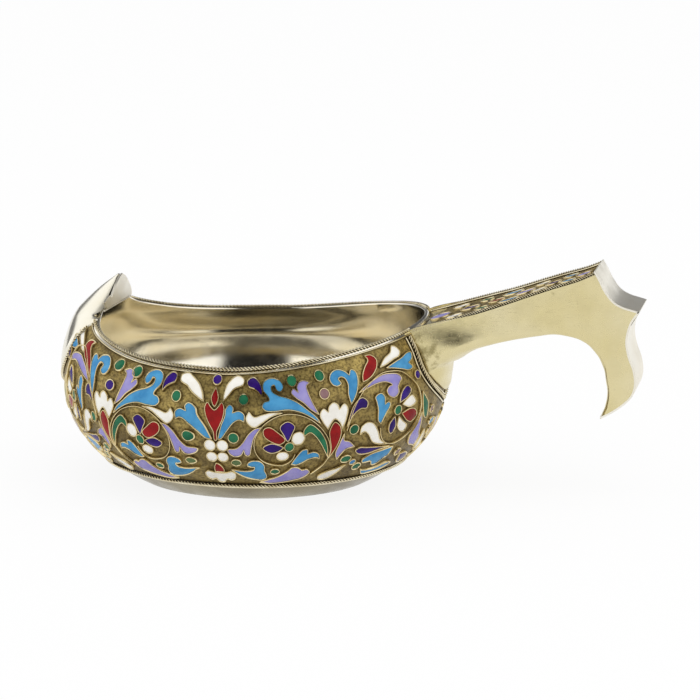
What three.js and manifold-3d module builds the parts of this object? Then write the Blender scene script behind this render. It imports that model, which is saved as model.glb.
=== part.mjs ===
// A kovsh: a small silver-gilt drinking scoop with a cloisonne enamel band.
// Millimetres, +Z up. The origin is the centre of the flat base, +X points to the handle and -X to the prow.
// Every piece is sheet, wire or an enamel cell, soldered or fired in place.

import * as THREE from "three";
import { mergeVertices } from "three/addons/utils/BufferGeometryUtils.js";
import Module from "manifold-3d";

const wasm = await Module();
wasm.setup();

// Bowl: outside sizes
const bowlLength = 82.3;
const bowlWidth = 77;
const bellyHeight = 22.5;
const rimHeight = 29.8;
const prowRimRise = 8;
const prowRimFlat = 6.8;
const handleRimRise = 5.8;
const prowSetback = 8.6;
const wallThickness = 1.1;
const floorThickness = 1.3;

// Wires and the seat of whatever lies on the bowl
const seatGap = 0.25;
const ropeDiameter = 0.75;
const plainWireDiameter = 0.5;
const scrollWireDiameter = 0.6;
const enamelThickness = 0.5;
const footRopeHeight = 4.9;

// Shields where the prow and the handle meet the bowl
const prowShieldWidth = 32.4;
const prowShoulderDrop = 0.9;
const prowShieldDrop = 10.4;
const rootShieldWidth = 23.2;
const rootShoulderDrop = 0.4;
const rootShieldDrop = 10;
const borderPitch = 1.1;

// Prow
const prowSheetThickness = 0.6;
const prowRise = 5.9;
const prowOverhang = 2.65;
const prowCornerDrop = 2.3;
const backPlateThickness = 0.7;

// Handle
const handleReach = 42.1;
const handleRise = 25.7;
const handleDrop = 7.4;
const handleRootDepth = 8;
const handleEndWidth = 14;
const handlePlateThickness = 1;
const handleSheetThickness = 1.1;
const endStripThickness = 1;
const handleInlayWidth = 5.6;

// One overrun serves all cuts
const overrun = 4;

// Shares and exponents of the bowl's curves
const closingDepthShare = 1.255;
const lowerExponent = 2.13;
const lowerRootExponent = 1.91;
const rimDrawShare = 0.097;
const rimNarrowShare = 0.049;
const rimSkewShare = 0.131;
const prowRiseExponent = 3.85;
const handleRiseExponent = 1.48;
const prowFlareShare = 0.95;
const prowFlareExponent = 1.5;
const cornerExponent = 20;
const shieldExponent = 2.2;
const rowExponent = 1.2;

// Facets
const aroundSteps = 64;
const wallRows = 9;
const wireSides = 4;
const inlayEdgeShare = 0.059;
const derivativeShare = 0.00001;
const longestInlayEdge = bowlLength * inlayEdgeShare;
const derivativeStep = bowlLength * derivativeShare;

const halfLength = bowlLength / 2;
const halfWidth = bowlWidth / 2;
const quarterTurn = Math.PI / 2;

// The rim rises in a curve to the handle and to the prow, where it runs straight across.
function rimAt(angle) {
  const along = Math.cos(angle);
  const prowPart = prowRimRise * Math.max(0, -along) ** prowRiseExponent;
  const handlePart = handleRimRise * Math.max(0, along) ** handleRiseExponent;
  return rimHeight + Math.min(prowPart, prowRimFlat) + handlePart;
}

// Share of the belly's girth at a height: full at the belly, drawn in to the base and a little to the rim.
function girthAt(height, rim) {
  if (height < bellyHeight) {
    const drop = (bellyHeight - height) / (bellyHeight * closingDepthShare);
    return (1 - drop ** lowerExponent) ** (1 / lowerRootExponent);
  }
  return 1 - rimDrawShare * ((height - bellyHeight) / (rim - bellyHeight)) ** 2;
}

// Above the belly the bowl is drawn in more across than along, and more towards the prow.
function swellAt(angle, height, rim) {
  const lean = Math.max(0, (height - bellyHeight) / (rim - bellyHeight)) ** 2;
  return 1 + lean * (rimSkewShare * Math.cos(angle) - rimNarrowShare);
}

// Outer skin of the bowl. The wall is pressed flat at the prow, most at the rim.
function skinPoint(angle, height, flattened) {
  const rim = rimAt(angle);
  const share = girthAt(height, rim);
  let x = halfLength * share * Math.cos(angle);
  const y = halfWidth * share * swellAt(angle, height, rim) * Math.sin(angle);
  if (flattened && x < 0) {
    const drop = Math.max(0, rim - height) / (rim - bellyHeight);
    const limit = halfLength - prowSetback + halfLength * prowFlareShare * drop ** prowFlareExponent;
    const reach = -x / limit;
    x = -limit * (reach ** -cornerExponent + 1) ** (-1 / cornerExponent);
  }
  return new THREE.Vector3(x, y, height);
}

function skinNormal(angle, height, flattened) {
  const turn = derivativeStep / halfLength;
  const across = skinPoint(angle + turn, height, flattened).sub(skinPoint(angle - turn, height, flattened));
  const above = skinPoint(angle, height + derivativeStep, flattened);
  const up = above.sub(skinPoint(angle, height - derivativeStep, flattened));
  return across.cross(up).normalize();
}

function bowlPoint(angle, height, offset, flattened = true) {
  const normal = skinNormal(angle, height, flattened);
  return skinPoint(angle, height, flattened).addScaledVector(normal, offset);
}

// Length along the belly from the middle of the near side, and back from a length to an angle.
const arcSteps = 720;
const arcLengths = [0];
for (let step = 1; step <= arcSteps; step++) {
  const angle = (quarterTurn * (step - 0.5)) / arcSteps;
  const slope = Math.hypot(halfLength * Math.cos(angle), halfWidth * Math.sin(angle));
  arcLengths.push(arcLengths[step - 1] + (slope * quarterTurn) / arcSteps);
}
const quarterGirth = arcLengths[arcSteps];

function angleAtArc(arc) {
  const length = Math.min(Math.abs(arc), quarterGirth);
  const step = Math.max(1, arcLengths.findIndex((value) => value >= length));
  const part = (length - arcLengths[step - 1]) / (arcLengths[step] - arcLengths[step - 1]);
  return -quarterTurn + (Math.sign(arc) * quarterTurn * (step - 1 + part)) / arcSteps;
}

// Belly length at a given way to the side from the bowl's long axis
function arcAtSide(side) {
  const share = Math.acos(side / halfWidth) / quarterTurn;
  return arcLengths[Math.round(share * arcSteps)];
}

// A closed body from points and faces, turned so that its faces point out.
function bodyFrom(points, faces) {
  let volume = 0;
  for (const [a, b, c] of faces) {
    volume += points[a].dot(points[b].clone().cross(points[c]));
  }
  const index = faces.flatMap(([a, b, c]) => (volume < 0 ? [a, c, b] : [a, b, c]));
  const geometry = new THREE.BufferGeometry().setFromPoints(points);
  geometry.setIndex(index);
  return geometry;
}

function averageOf(points) {
  const sum = new THREE.Vector3();
  points.forEach((point) => sum.add(point));
  return sum.divideScalar(points.length);
}

// A closed body through rings of equal count. Its ends join each other or are closed by flat fans.
function loftBody(rings, ringsJoin = false) {
  const count = rings[0].length;
  const points = rings.flat().map((point) => point.clone());
  const faces = [];
  const bands = ringsJoin ? rings.length : rings.length - 1;
  for (let ring = 0; ring < bands; ring++) {
    for (let step = 0; step < count; step++) {
      const here = ring * count;
      const next = ((ring + 1) % rings.length) * count;
      const other = (step + 1) % count;
      faces.push([here + step, here + other, next + other]);
      faces.push([here + step, next + other, next + step]);
    }
  }
  if (!ringsJoin) {
    const last = (rings.length - 1) * count;
    points.push(averageOf(rings[0]), averageOf(rings[rings.length - 1]));
    for (let step = 0; step < count; step++) {
      const other = (step + 1) % count;
      faces.push([points.length - 2, other, step]);
      faces.push([points.length - 1, last + step, last + other]);
    }
  }
  return bodyFrom(points, faces);
}

// A wire along a path of { point, up } pairs: round, seated with its underside at the path's gap.
function wireBody(path, diameter, closed = false) {
  const rings = path.map(({ point, up }, step) => {
    const before = path[closed ? (step + path.length - 1) % path.length : Math.max(0, step - 1)].point;
    const after = path[closed ? (step + 1) % path.length : Math.min(path.length - 1, step + 1)].point;
    const along = after.clone().sub(before).normalize();
    const across = along.clone().cross(up).normalize();
    const outward = across.clone().cross(along).normalize();
    return Array.from({ length: wireSides }, (unused, side) => {
      const turn = (2 * Math.PI * side) / wireSides;
      const ringPoint = point.clone().addScaledVector(outward, (diameter / 2) * Math.cos(turn));
      return ringPoint.addScaledVector(across, (diameter / 2) * Math.sin(turn));
    });
  });
  return loftBody(rings, closed);
}

function seatedOnBowl(angle, height, diameter, flattened = true) {
  return {
    point: bowlPoint(angle, height, seatGap + diameter / 2, flattened),
    up: skinNormal(angle, height, flattened),
  };
}

// A closed sheet between an outer and an inner grid of points with the same rows.
function sheetBody(outer, inner) {
  const columns = outer[0].length;
  const rows = outer.length;
  const points = [...outer.flat(), ...inner.flat()];
  const lower = rows * columns;
  const faces = [];
  const quad = (a, b, c, d) => faces.push([a, b, c], [a, c, d]);
  for (let row = 0; row < rows - 1; row++) {
    for (let column = 0; column < columns - 1; column++) {
      const a = row * columns + column;
      quad(a, a + 1, a + columns + 1, a + columns);
      quad(lower + a + columns, lower + a + columns + 1, lower + a + 1, lower + a);
    }
    const left = row * columns;
    const right = left + columns - 1;
    quad(left, left + columns, lower + left + columns, lower + left);
    quad(right + columns, right, lower + right, lower + right + columns);
  }
  for (let column = 0; column < columns - 1; column++) {
    const top = (rows - 1) * columns + column;
    quad(column + 1, column, lower + column, lower + column + 1);
    quad(top, top + 1, lower + top + 1, lower + top);
  }
  return bodyFrom(points, faces);
}

function solidOf(geometry) {
  const bare = geometry.clone();
  bare.deleteAttribute("normal");
  bare.deleteAttribute("uv");
  const merged = mergeVertices(bare);
  const vertProperties = merged.attributes.position.array;
  const triVerts = new Uint32Array(merged.index.array);
  return new wasm.Manifold(new wasm.Mesh({ numProp: 3, vertProperties, triVerts }));
}

function geometryOf(solid) {
  const mesh = solid.getMesh();
  const geometry = new THREE.BufferGeometry();
  geometry.setAttribute("position", new THREE.BufferAttribute(mesh.vertProperties, 3));
  geometry.setIndex(new THREE.BufferAttribute(mesh.triVerts, 1));
  return geometry;
}

const kovsh = new THREE.Group();

function addPiece(name, geometry, finish) {
  geometry.computeVertexNormals();
  const mesh = new THREE.Mesh(geometry, new THREE.MeshStandardMaterial(finish));
  mesh.name = name;
  kovsh.add(mesh);
}

const gilt = { color: 0xcfc08a, roughness: 0.28, metalness: 1 };
const innerGilt = { color: 0xd8cda6, roughness: 0.2, metalness: 1 };
const paleSilver = { color: 0xdad6c6, roughness: 0.22, metalness: 1 };
const wireGilt = { color: 0xc9b47c, roughness: 0.3, metalness: 1 };
const enamelFinish = (color) => ({ color, roughness: 0.22, metalness: 0 });
const turquoise = enamelFinish(0x3f9fcc);
const cobalt = enamelFinish(0x2a1a80);
const lilac = enamelFinish(0x8e86d6);
const red = enamelFinish(0xa81f24);
const white = enamelFinish(0xeae5da);

// Bowl: one raised sheet, up the outside, over the rim and down the inside
function bowlRing(heightShare, offset) {
  return Array.from({ length: aroundSteps }, (unused, step) => {
    const angle = (2 * Math.PI * step) / aroundSteps;
    const rim = rimAt(angle);
    const point = bowlPoint(angle, rim * heightShare, offset);
    if (heightShare === 1) {
      point.z = rim;
    }
    return point;
  });
}

const rowShares = Array.from({ length: wallRows + 1 }, (unused, row) => (row / wallRows) ** rowExponent);
const outerRings = rowShares.map((share) => bowlRing(share, 0));
const innerRings = rowShares.slice(1).map((share) => bowlRing(share, -wallThickness));
innerRings[0].forEach((point) => point.setZ(floorThickness));
outerRings[0].forEach((point) => point.setZ(0));
addPiece("bowl", loftBody([...outerRings, ...innerRings.reverse()]), innerGilt);

// The bowl's outside, filled and grown by the seat gap, which cuts what is fitted to it.
function grownBowl() {
  const rings = rowShares.map((share) => bowlRing(share, seatGap));
  const lid = rings[rings.length - 1].map((point) => point.clone().setZ(point.z + overrun));
  return solidOf(loftBody([...rings, lid]));
}

// Shield outline: half the width at a height, full above the shoulder and closing to a blunt point.
function shieldHalf(height, shield) {
  const drop = Math.max(0, shield.shoulder - height) / (shield.shoulder - shield.bottom);
  return (shield.width / 2) * Math.max(0, 1 - drop ** shieldExponent);
}

const prowShield = {
  width: prowShieldWidth,
  shoulder: rimHeight - prowShoulderDrop,
  bottom: rimHeight - prowShieldDrop,
  end: -1,
};
const rootShield = {
  width: rootShieldWidth,
  shoulder: rimHeight - rootShoulderDrop,
  bottom: rimHeight - rootShieldDrop,
  end: 1,
};

// Angle on the bowl of a point a given way to the side, at the prow's or the handle's end.
const sidePasses = 10;

function angleWhere(side, end, heightAt) {
  let angle = end > 0 ? 0 : Math.PI;
  for (let pass = 0; pass < sidePasses; pass++) {
    const height = heightAt(angle);
    const rim = rimAt(angle);
    const width = halfWidth * girthAt(height, rim) * swellAt(angle, height, rim);
    const turn = Math.asin(Math.max(-1, Math.min(1, side / width)));
    angle = end > 0 ? turn : Math.PI - turn;
  }
  return angle;
}

function angleAtSide(side, height, end) {
  return angleWhere(side, end, () => height);
}

function rimAtSide(side, end) {
  return rimAt(angleWhere(side, end, rimAt));
}

// Rim: a twisted rope on the outer top edge and a plain wire under it, near and far, prow to handle
const rimSteps = 40;
const rimWireDrop = ropeDiameter + seatGap + plainWireDiameter / 2;
const rimWiresBottom = rimWireDrop + plainWireDiameter / 2;

function rimPath(drop, diameter, side) {
  const prowSide = prowShieldWidth / 2 + seatGap;
  const rootSide = rootShieldWidth / 2 + seatGap + diameter;
  const start = angleAtSide(prowSide, rimAtSide(prowSide, -1), -1);
  const finish = angleAtSide(rootSide, rimAtSide(rootSide, 1), 1);
  return Array.from({ length: rimSteps + 1 }, (unused, step) => {
    const angle = start + ((finish - start) * step) / rimSteps;
    const seat = seatedOnBowl(angle, rimAt(angle) - drop, diameter);
    seat.point.y *= side;
    seat.up.y *= side;
    return seat;
  });
}

for (const [label, side] of [["near", -1], ["far", 1]]) {
  const ropePath = rimPath(ropeDiameter / 2, ropeDiameter, side);
  addPiece(`rim_rope_${label}`, wireBody(ropePath, ropeDiameter), wireGilt);
  const plainPath = rimPath(rimWireDrop, plainWireDiameter, side);
  addPiece(`rim_wire_${label}`, wireBody(plainPath, plainWireDiameter), wireGilt);
}

// Foot: the same pair of wires as closed rings
function footPath(height, diameter) {
  return Array.from({ length: aroundSteps }, (unused, step) => {
    return seatedOnBowl((2 * Math.PI * step) / aroundSteps, height, diameter);
  });
}

const footWireHeight = footRopeHeight - ropeDiameter / 2 - seatGap - plainWireDiameter / 2;
addPiece("foot_rope", wireBody(footPath(footRopeHeight, ropeDiameter), ropeDiameter, true), wireGilt);
const footWirePath = footPath(footWireHeight, plainWireDiameter);
addPiece("foot_wire", wireBody(footWirePath, plainWireDiameter, true), wireGilt);

// Borders round the shields: wires that follow the shield's outline at a number of pitches
const borderShares = [1, 0.93, 0.84, 0.73, 0.6, 0.46, 0.32, 0.18, 0];

function borderPath(shield, pitches, diameter) {
  const away = pitches * borderPitch;
  const depth = shield.shoulder - shield.bottom + away;
  const widest = shield.width / 2 + away;
  const top = rimAtSide(widest, shield.end) - rimWiresBottom - seatGap - diameter / 2;
  const half = [];
  for (const share of borderShares) {
    half.push([widest * (1 - share ** shieldExponent), shield.shoulder - depth * share]);
  }
  half.push([widest, top]);
  const whole = [...half.slice(1).reverse().map(([side, height]) => [-side, height]), ...half];
  return whole.map(([side, height]) => {
    return seatedOnBowl(angleAtSide(side, height, shield.end), height, diameter, false);
  });
}

const rootWires = [
  ["root_wire_inner", 0.75, plainWireDiameter],
  ["root_rope", 1.75, ropeDiameter],
  ["root_wire_outer", 2.75, plainWireDiameter],
];
for (const [name, pitches, diameter] of rootWires) {
  addPiece(name, wireBody(borderPath(rootShield, pitches, diameter), diameter), wireGilt);
}
const prowWires = [
  ["prow_wire", 0.75, plainWireDiameter],
  ["prow_rope", 1.75, ropeDiameter],
];
for (const [name, pitches, diameter] of prowWires) {
  addPiece(name, wireBody(borderPath(prowShield, pitches, diameter), diameter), wireGilt);
}

// Prow: a hollow beak outside the wall. Its lower rows lie on the bowl; the upper ones rise to the tip.
// Upper rows: rise over the rim, half width, edge over the overhang and keel over the whole lean
const prowColumns = 12;
const prowLowerRows = 8;
const prowArcExponent = 0.72;
const leastInnerShare = 0.3;
const prowRowShares = [
  { rise: -0.11, half: 0.85, edge: 1.08, keel: 0.71 },
  { rise: 0.045, half: 0.66, edge: 0.35, keel: 0.645 },
  { rise: 0.27, half: 0.52, edge: 0.28, keel: 0.53 },
  { rise: 0.53, half: 0.35, edge: 0.21, keel: 0.378 },
  { rise: 0.78, half: 0.18, edge: 0.11, keel: 0.2 },
  { rise: 0.93, half: 0.07, edge: 0.04, keel: 0.07 },
  { rise: 1, half: 0.03, edge: 0, keel: 0.035 },
];
const prowLean = prowSetback + prowOverhang;
const prowTipX = halfLength - prowLean;
const prowRimTop = rimHeight + prowRimFlat;
const prowCorner = prowRimTop - prowCornerDrop;

function prowRow(row, outerFace) {
  const sheet = prowSheetThickness;
  if (row < prowLowerRows) {
    const start = prowShield.bottom + sheet;
    const height = start + ((prowCorner - start) * row) / (prowLowerRows - 1);
    const half = shieldHalf(height, prowShield);
    return Array.from({ length: prowColumns + 1 }, (unused, column) => {
      const side = half * (1 - (2 * column) / prowColumns);
      const offset = seatGap + (outerFace ? sheet : 0);
      return bowlPoint(angleAtSide(side, height, -1), height, offset, false);
    });
  }
  const { rise, half, edge, keel } = prowRowShares[row - prowLowerRows];
  const halfSide = (prowShieldWidth / 2) * half;
  const depth = prowLean * keel - prowOverhang * edge;
  const deeper = outerFace ? 1 : Math.max(leastInnerShare, 1 - sheet / depth);
  const narrower = outerFace ? 1 : Math.max(leastInnerShare, 1 - sheet / halfSide);
  const height = prowRimTop + prowRise * rise - (outerFace ? 0 : sheet * Math.max(0, rise));
  return Array.from({ length: prowColumns + 1 }, (unused, column) => {
    const across = 1 - (2 * column) / prowColumns;
    const bulge = (1 - across ** 2) ** prowArcExponent;
    const x = -prowTipX - prowOverhang * edge - depth * deeper * bulge;
    return new THREE.Vector3(x, halfSide * narrower * across, height);
  });
}

const prowRows = Array.from({ length: prowLowerRows + prowRowShares.length }, (unused, row) => row);
const prowOuter = prowRows.map((row) => prowRow(row, true));
const prowInner = prowRows.map((row) => prowRow(row, false));
addPiece("prow_shell", sheetBody(prowOuter, prowInner), paleSilver);

// Back plate: the flat triangle with two small ears that closes the beak towards the bowl
const backPlateShares = [
  { side: 0.77, rise: -0.06 },
  { side: 0.74, rise: 0.1 },
  { side: 0.6, rise: 0.19 },
  { side: 0.53, rise: 0.3 },
  { side: 0.35, rise: 0.6 },
  { side: 0.17, rise: 0.86 },
  { side: 0, rise: 1.04 },
];
const plateLeanShare = 0.37;

function backPlate() {
  const rightSide = backPlateShares.map(({ side, rise }) => [side, rise]);
  const leftSide = rightSide.slice(0, -1).map(([side, rise]) => [-side, rise]);
  const outline = [...rightSide, ...leftSide.reverse()];
  const plateRow = (depth) => {
    return outline.map(([side, rise]) => {
      const lean = prowOverhang * plateLeanShare * (1 - rise);
      const x = -prowTipX - lean + seatGap * 2 + depth;
      return new THREE.Vector3(x, (prowShieldWidth / 2) * side, prowRimTop + prowRise * rise + seatGap);
    });
  };
  return loftBody([plateRow(0), plateRow(backPlateThickness)]);
}

addPiece("prow_back_plate", backPlate(), paleSilver);

// Handle: stations from its low edge to its top or end edge, in shares of reach and rise.
// The tongue's stations lie level on the bowl; the later ones fan round the grip to the hook.
const tongueShares = [
  { x: 0.017, z: -0.078 },
  { x: 0.029, z: -0.03 },
  { x: 0.034, z: 0.055 },
  { x: 0.048, z: 0.17 },
];
const gripShares = [
  { low: [0.1, 0.21], high: [-0.14, 0.3], width: 1, corner: 0.87, round: 0.22 },
  { low: [0.165, 0.298], high: [-0.176, 0.472], width: 1, corner: 0.5, round: 0.16 },
  { low: [0.253, 0.362], high: [0.19, 0.662], width: 0.68, corner: 0.2, round: 0.09 },
  { low: [0.364, 0.408], high: [0.33, 0.736], width: 0.43, corner: 0.14, round: 0.06 },
  { low: [0.496, 0.447], high: [0.46, 0.813], width: 0.29, corner: 0.13, round: 0.055 },
  { low: [0.583, 0.463], high: [0.57, 0.876], width: 0.2, corner: 0.13, round: 0.055 },
  { low: [0.689, 0.43], high: [0.7, 0.946], width: 0.09, corner: 0.13, round: 0.055 },
];
const hookShares = [
  { low: [0.733, 0.391], high: [0.776, 1] },
  { low: [0.752, 0.367], high: [0.798, 0.94] },
  { low: [0.771, 0.333], high: [0.829, 0.841] },
  { low: [0.788, 0.299], high: [0.87, 0.757] },
  { low: [0.798, 0.276], high: [0.913, 0.717] },
  { low: [0.81, 0.235], high: [0.964, 0.693] },
  { low: [0.819, 0.2], high: [1, 0.677] },
  { low: [0.826, 0.166], high: [0.959, 0.573] },
  { low: [0.834, 0.084], high: [0.94, 0.434] },
  { low: [0.841, 0.014], high: [0.952, 0.31] },
  { low: [0.84, -0.048], high: [0.978, 0.191] },
  { low: [0.834, -0.1], high: [0.986, 0.07] },
  { low: [0.827, -0.142], high: [0.971, -0.02] },
  { low: [0.818, -0.178], high: [0.93, -0.096] },
  { low: [0.812, -0.204], high: [0.87, -0.169] },
  { low: [0.808, -0.222], high: [0.815, -0.218] },
];
const cornerShares = { corner: 0.14, round: 0.05 };
const tongueCornerShare = 0.97;
const coverDepth = ropeDiameter + handlePlateThickness + seatGap * 2;
const sectionSteps = 4;

function handlePoint([alongShare, riseShare]) {
  const x = halfLength + handleReach * alongShare;
  return new THREE.Vector3(x, 0, rimHeight - handleDrop + handleRise * riseShare);
}

function gripStation({ low, high, width = 0, corner, round }) {
  const half = (handleEndWidth + (rootShieldWidth - handleEndWidth) * width) / 2;
  return {
    low: handlePoint(low),
    high: handlePoint(high),
    half,
    corner: (corner * rootShieldWidth) / 2,
    round: round * handleRise,
  };
}

// A level station on the tongue: its width is the shield's at that height.
function tongueStation({ x, z }) {
  const low = handlePoint([x, z]);
  const half = shieldHalf(low.z, rootShield);
  const bowlX = skinPoint(angleAtSide(half, low.z, 1), low.z, false).x;
  return {
    low,
    high: new THREE.Vector3(halfLength - handleRootDepth, 0, low.z),
    half,
    corner: half * tongueCornerShare,
    round: low.x - bowlX,
  };
}

// A section across the handle: square at the top, with rounded lower corners.
function handleSection({ low, high, half, corner, round }, topCut) {
  const upward = high.clone().sub(low);
  const height = upward.length() - topCut;
  upward.normalize();
  const place = (side, up) => low.clone().addScaledVector(upward, up).setY(side);
  const rightSide = [];
  for (let step = 0; step <= sectionSteps; step++) {
    const turn = (quarterTurn * step) / sectionSteps;
    const side = half - corner + corner * Math.sin(turn);
    rightSide.push([side, Math.min(height / 2, round) * (1 - Math.cos(turn))]);
  }
  rightSide.push([half, height]);
  const leftSide = rightSide.map(([side, up]) => [-side, up]).reverse();
  return [...rightSide, ...leftSide].map(([side, up]) => place(side, up));
}

const tongueStations = tongueShares.map(tongueStation);
const gripStations = gripShares.map(gripStation);
const hookStations = hookShares.map((share) => gripStation({ ...share, ...cornerShares }));
const topStations = [...gripStations.slice(1), hookStations[0]];

// A line in the XZ plane moved sideways, with mitred corners; a positive distance is to its right.
const sharpestMitre = 0.5;

function offsetLine(line, distance) {
  return line.map((point, step) => {
    const arriving = step > 0 ? point.clone().sub(line[step - 1]) : line[1].clone().sub(point);
    const leaving = step < line.length - 1 ? line[step + 1].clone().sub(point) : arriving.clone();
    const rightOf = (direction) => new THREE.Vector2(direction.y, -direction.x).normalize();
    const normal = rightOf(arriving).add(rightOf(leaving)).normalize();
    const mitre = Math.max(sharpestMitre, normal.dot(rightOf(leaving)));
    return point.clone().addScaledVector(normal, distance / mitre);
  });
}

// A band between two lines in the XZ plane, extruded across the handle.
function bandBody(outerLine, innerLine, width) {
  const shape = new THREE.Shape([...outerLine, ...innerLine.slice().reverse()]);
  const geometry = new THREE.ExtrudeGeometry(shape, { depth: width, bevelEnabled: false });
  geometry.rotateX(quarterTurn);
  geometry.translate(0, width / 2, 0);
  return geometry;
}

const endLine = hookStations.map(({ high }) => new THREE.Vector2(high.x, high.z));

// Everything from outside the end edge to a depth behind it
function endCutter(depth) {
  const first = endLine[0].clone().sub(endLine[1]).setLength(overrun).add(endLine[0]);
  const count = endLine.length;
  const last = endLine[count - 1].clone().sub(endLine[count - 2]).setLength(overrun).add(endLine[count - 1]);
  const line = [first, ...endLine, last];
  const inside = offsetLine(line, depth);
  return solidOf(bandBody(offsetLine(line, -overrun / 2), inside, bowlWidth));
}

// Section of the handle's hollow: drawn in by the sheet, and open towards the top plate
function hollowSection({ low, high, half, corner, round }) {
  const upward = high.clone().sub(low).normalize();
  const inner = half - handleSheetThickness;
  return handleSection({
    low: low.clone().addScaledVector(upward, handleSheetThickness),
    high,
    half: inner,
    corner: (corner * inner) / half,
    round,
  }, 0);
}

const bowlCutter = grownBowl();
const stripCutter = endCutter(endStripThickness + seatGap);
const solidHookStations = 6;
const hollowStations = [
  ...tongueStations.slice(1),
  ...gripStations,
  ...hookStations.slice(0, -solidHookStations),
];
const hollowEnd = endCutter(endStripThickness + seatGap + handleSheetThickness);
const handleHollow = solidOf(loftBody(hollowStations.map(hollowSection))).subtract(hollowEnd);
const bodySections = [
  ...tongueStations.map((station) => handleSection(station, 0)),
  ...gripStations.map((station, step) => handleSection(station, step > 0 ? coverDepth : 0)),
  ...hookStations.map((station, step) => handleSection(station, step > 0 ? 0 : coverDepth)),
];
const handleBlank = solidOf(loftBody(bodySections)).subtract(bowlCutter).subtract(stripCutter);
addPiece("handle_body", geometryOf(handleBlank.subtract(handleHollow)), gilt);

addPiece(
  "handle_end_strip",
  bandBody(endLine, offsetLine(endLine, endStripThickness), handleEndWidth),
  paleSilver,
);

// Top plate: covers the handle from the rim to the corner, as wide as the cheeks
function plateSection({ low, high, half }) {
  const upward = high.clone().sub(low).normalize();
  const top = high.clone().addScaledVector(upward, -ropeDiameter - seatGap);
  const bottom = top.clone().addScaledVector(upward, -handlePlateThickness);
  const corners = [[top, half], [top, -half], [bottom, -half], [bottom, half]];
  return corners.map(([edge, side]) => edge.clone().setY(side));
}

const topPlate = solidOf(loftBody(topStations.map(plateSection))).subtract(bowlCutter).subtract(stripCutter);
addPiece("handle_top_plate", geometryOf(topPlate), wireGilt);

// Edge wires of the top plate: rope on the edge, plain wire inside it
const edgeStartShare = 0.17;
const edgeEndShare = 0.32;

function edgePath(inset, diameter, side) {
  const stations = topStations.map((station) => ({ ...station }));
  const first = stations[0];
  const second = stations[1];
  first.high = first.high.clone().lerp(second.high, edgeStartShare);
  first.half += (second.half - first.half) * edgeStartShare;
  const last = stations[stations.length - 1];
  const beforeLast = stations[stations.length - 2];
  last.high = last.high.clone().lerp(beforeLast.high, edgeEndShare);
  return stations.map(({ low, high, half }) => {
    const up = high.clone().sub(low).normalize();
    const point = high.clone().addScaledVector(up, diameter / 2 - ropeDiameter).setY(side * (half - inset));
    return { point, up };
  });
}

for (const [label, side] of [["near", -1], ["far", 1]]) {
  const ropePath = edgePath(ropeDiameter / 2, ropeDiameter, side);
  addPiece(`handle_rope_${label}`, wireBody(ropePath, ropeDiameter), wireGilt);
  const plainInset = ropeDiameter + seatGap + plainWireDiameter / 2;
  const plainPath = edgePath(plainInset, plainWireDiameter, side);
  addPiece(`handle_wire_${label}`, wireBody(plainPath, plainWireDiameter), wireGilt);
}

// The band's pattern is drawn on squared paper: squares along a quarter of the girth, and squares
// from the top of the foot rope up to the rim wires at their lowest.
const quarterSquaresShare = 63.4;
const lowestSquareShare = 5.6;
const highestSquareShare = 28.4;
const patternBottom = footRopeHeight + ropeDiameter / 2;
const patternTop = rimHeight - rimWiresBottom;

// Towards the prow the pattern is drawn further out, and crowded by the beak's shield.
const prowShiftShare = 2.4;
const crowdedFromShare = 30;
const outermostShare = 50.9;
const shieldArc = arcAtSide(prowShieldWidth / 2 + borderPitch * 2);
const shieldSquare = (shieldArc * quarterSquaresShare) / quarterGirth;
const crowdShare = (shieldSquare - crowdedFromShare) / (outermostShare - crowdedFromShare);

// Place of a square on the bowl, for a panel on one side and at one end.
function squareOnBowl(panel) {
  return (along, up, offset) => {
    const shifted = along + (panel.end < 0 ? prowShiftShare : 0);
    const beyond = Math.max(0, shifted - crowdedFromShare);
    const crowded = shifted - (panel.end < 0 ? beyond * (1 - crowdShare) : 0);
    const arc = (panel.end * crowded * quarterGirth) / quarterSquaresShare;
    const upShare = (up - lowestSquareShare) / (highestSquareShare - lowestSquareShare);
    const height = patternBottom + (patternTop - patternBottom) * upShare;
    const point = bowlPoint(angleAtArc(arc), height, offset);
    point.y *= panel.side;
    return point;
  };
}

function smoothed(controls, closed, stepsPerSpan) {
  const points = controls.map(([along, up]) => new THREE.Vector3(along, up, 0));
  const curve = new THREE.CatmullRomCurve3(points, closed, "centripetal");
  const spans = closed ? controls.length : controls.length - 1;
  const count = spans * stepsPerSpan + (closed ? 0 : 1);
  return Array.from({ length: count }, (unused, step) => {
    const point = curve.getPoint(step / (spans * stepsPerSpan));
    return new THREE.Vector2(point.x, point.y);
  });
}

// Splits the edges of a flat mesh that are too long to follow the bowl.
function splitLongEdges(points, faces, longest) {
  let current = faces;
  for (;;) {
    let worst = null;
    let length = longest;
    for (const face of current) {
      for (let corner = 0; corner < 3; corner++) {
        const from = face[corner];
        const to = face[(corner + 1) % 3];
        const span = points[from].distanceTo(points[to]);
        if (span > length) {
          worst = [from, to];
          length = span;
        }
      }
    }
    if (!worst) {
      return current;
    }
    const middle = points.length;
    points.push(points[worst[0]].clone().lerp(points[worst[1]], 0.5));
    current = current.flatMap((face) => {
      const corner = face.findIndex((from, step) => {
        return worst.includes(from) && worst.includes(face[(step + 1) % 3]);
      });
      if (corner < 0) {
        return [face];
      }
      const [from, to, opposite] = [0, 1, 2].map((step) => face[(corner + step) % 3]);
      return [[from, middle, opposite], [middle, to, opposite]];
    });
  }
}

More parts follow.
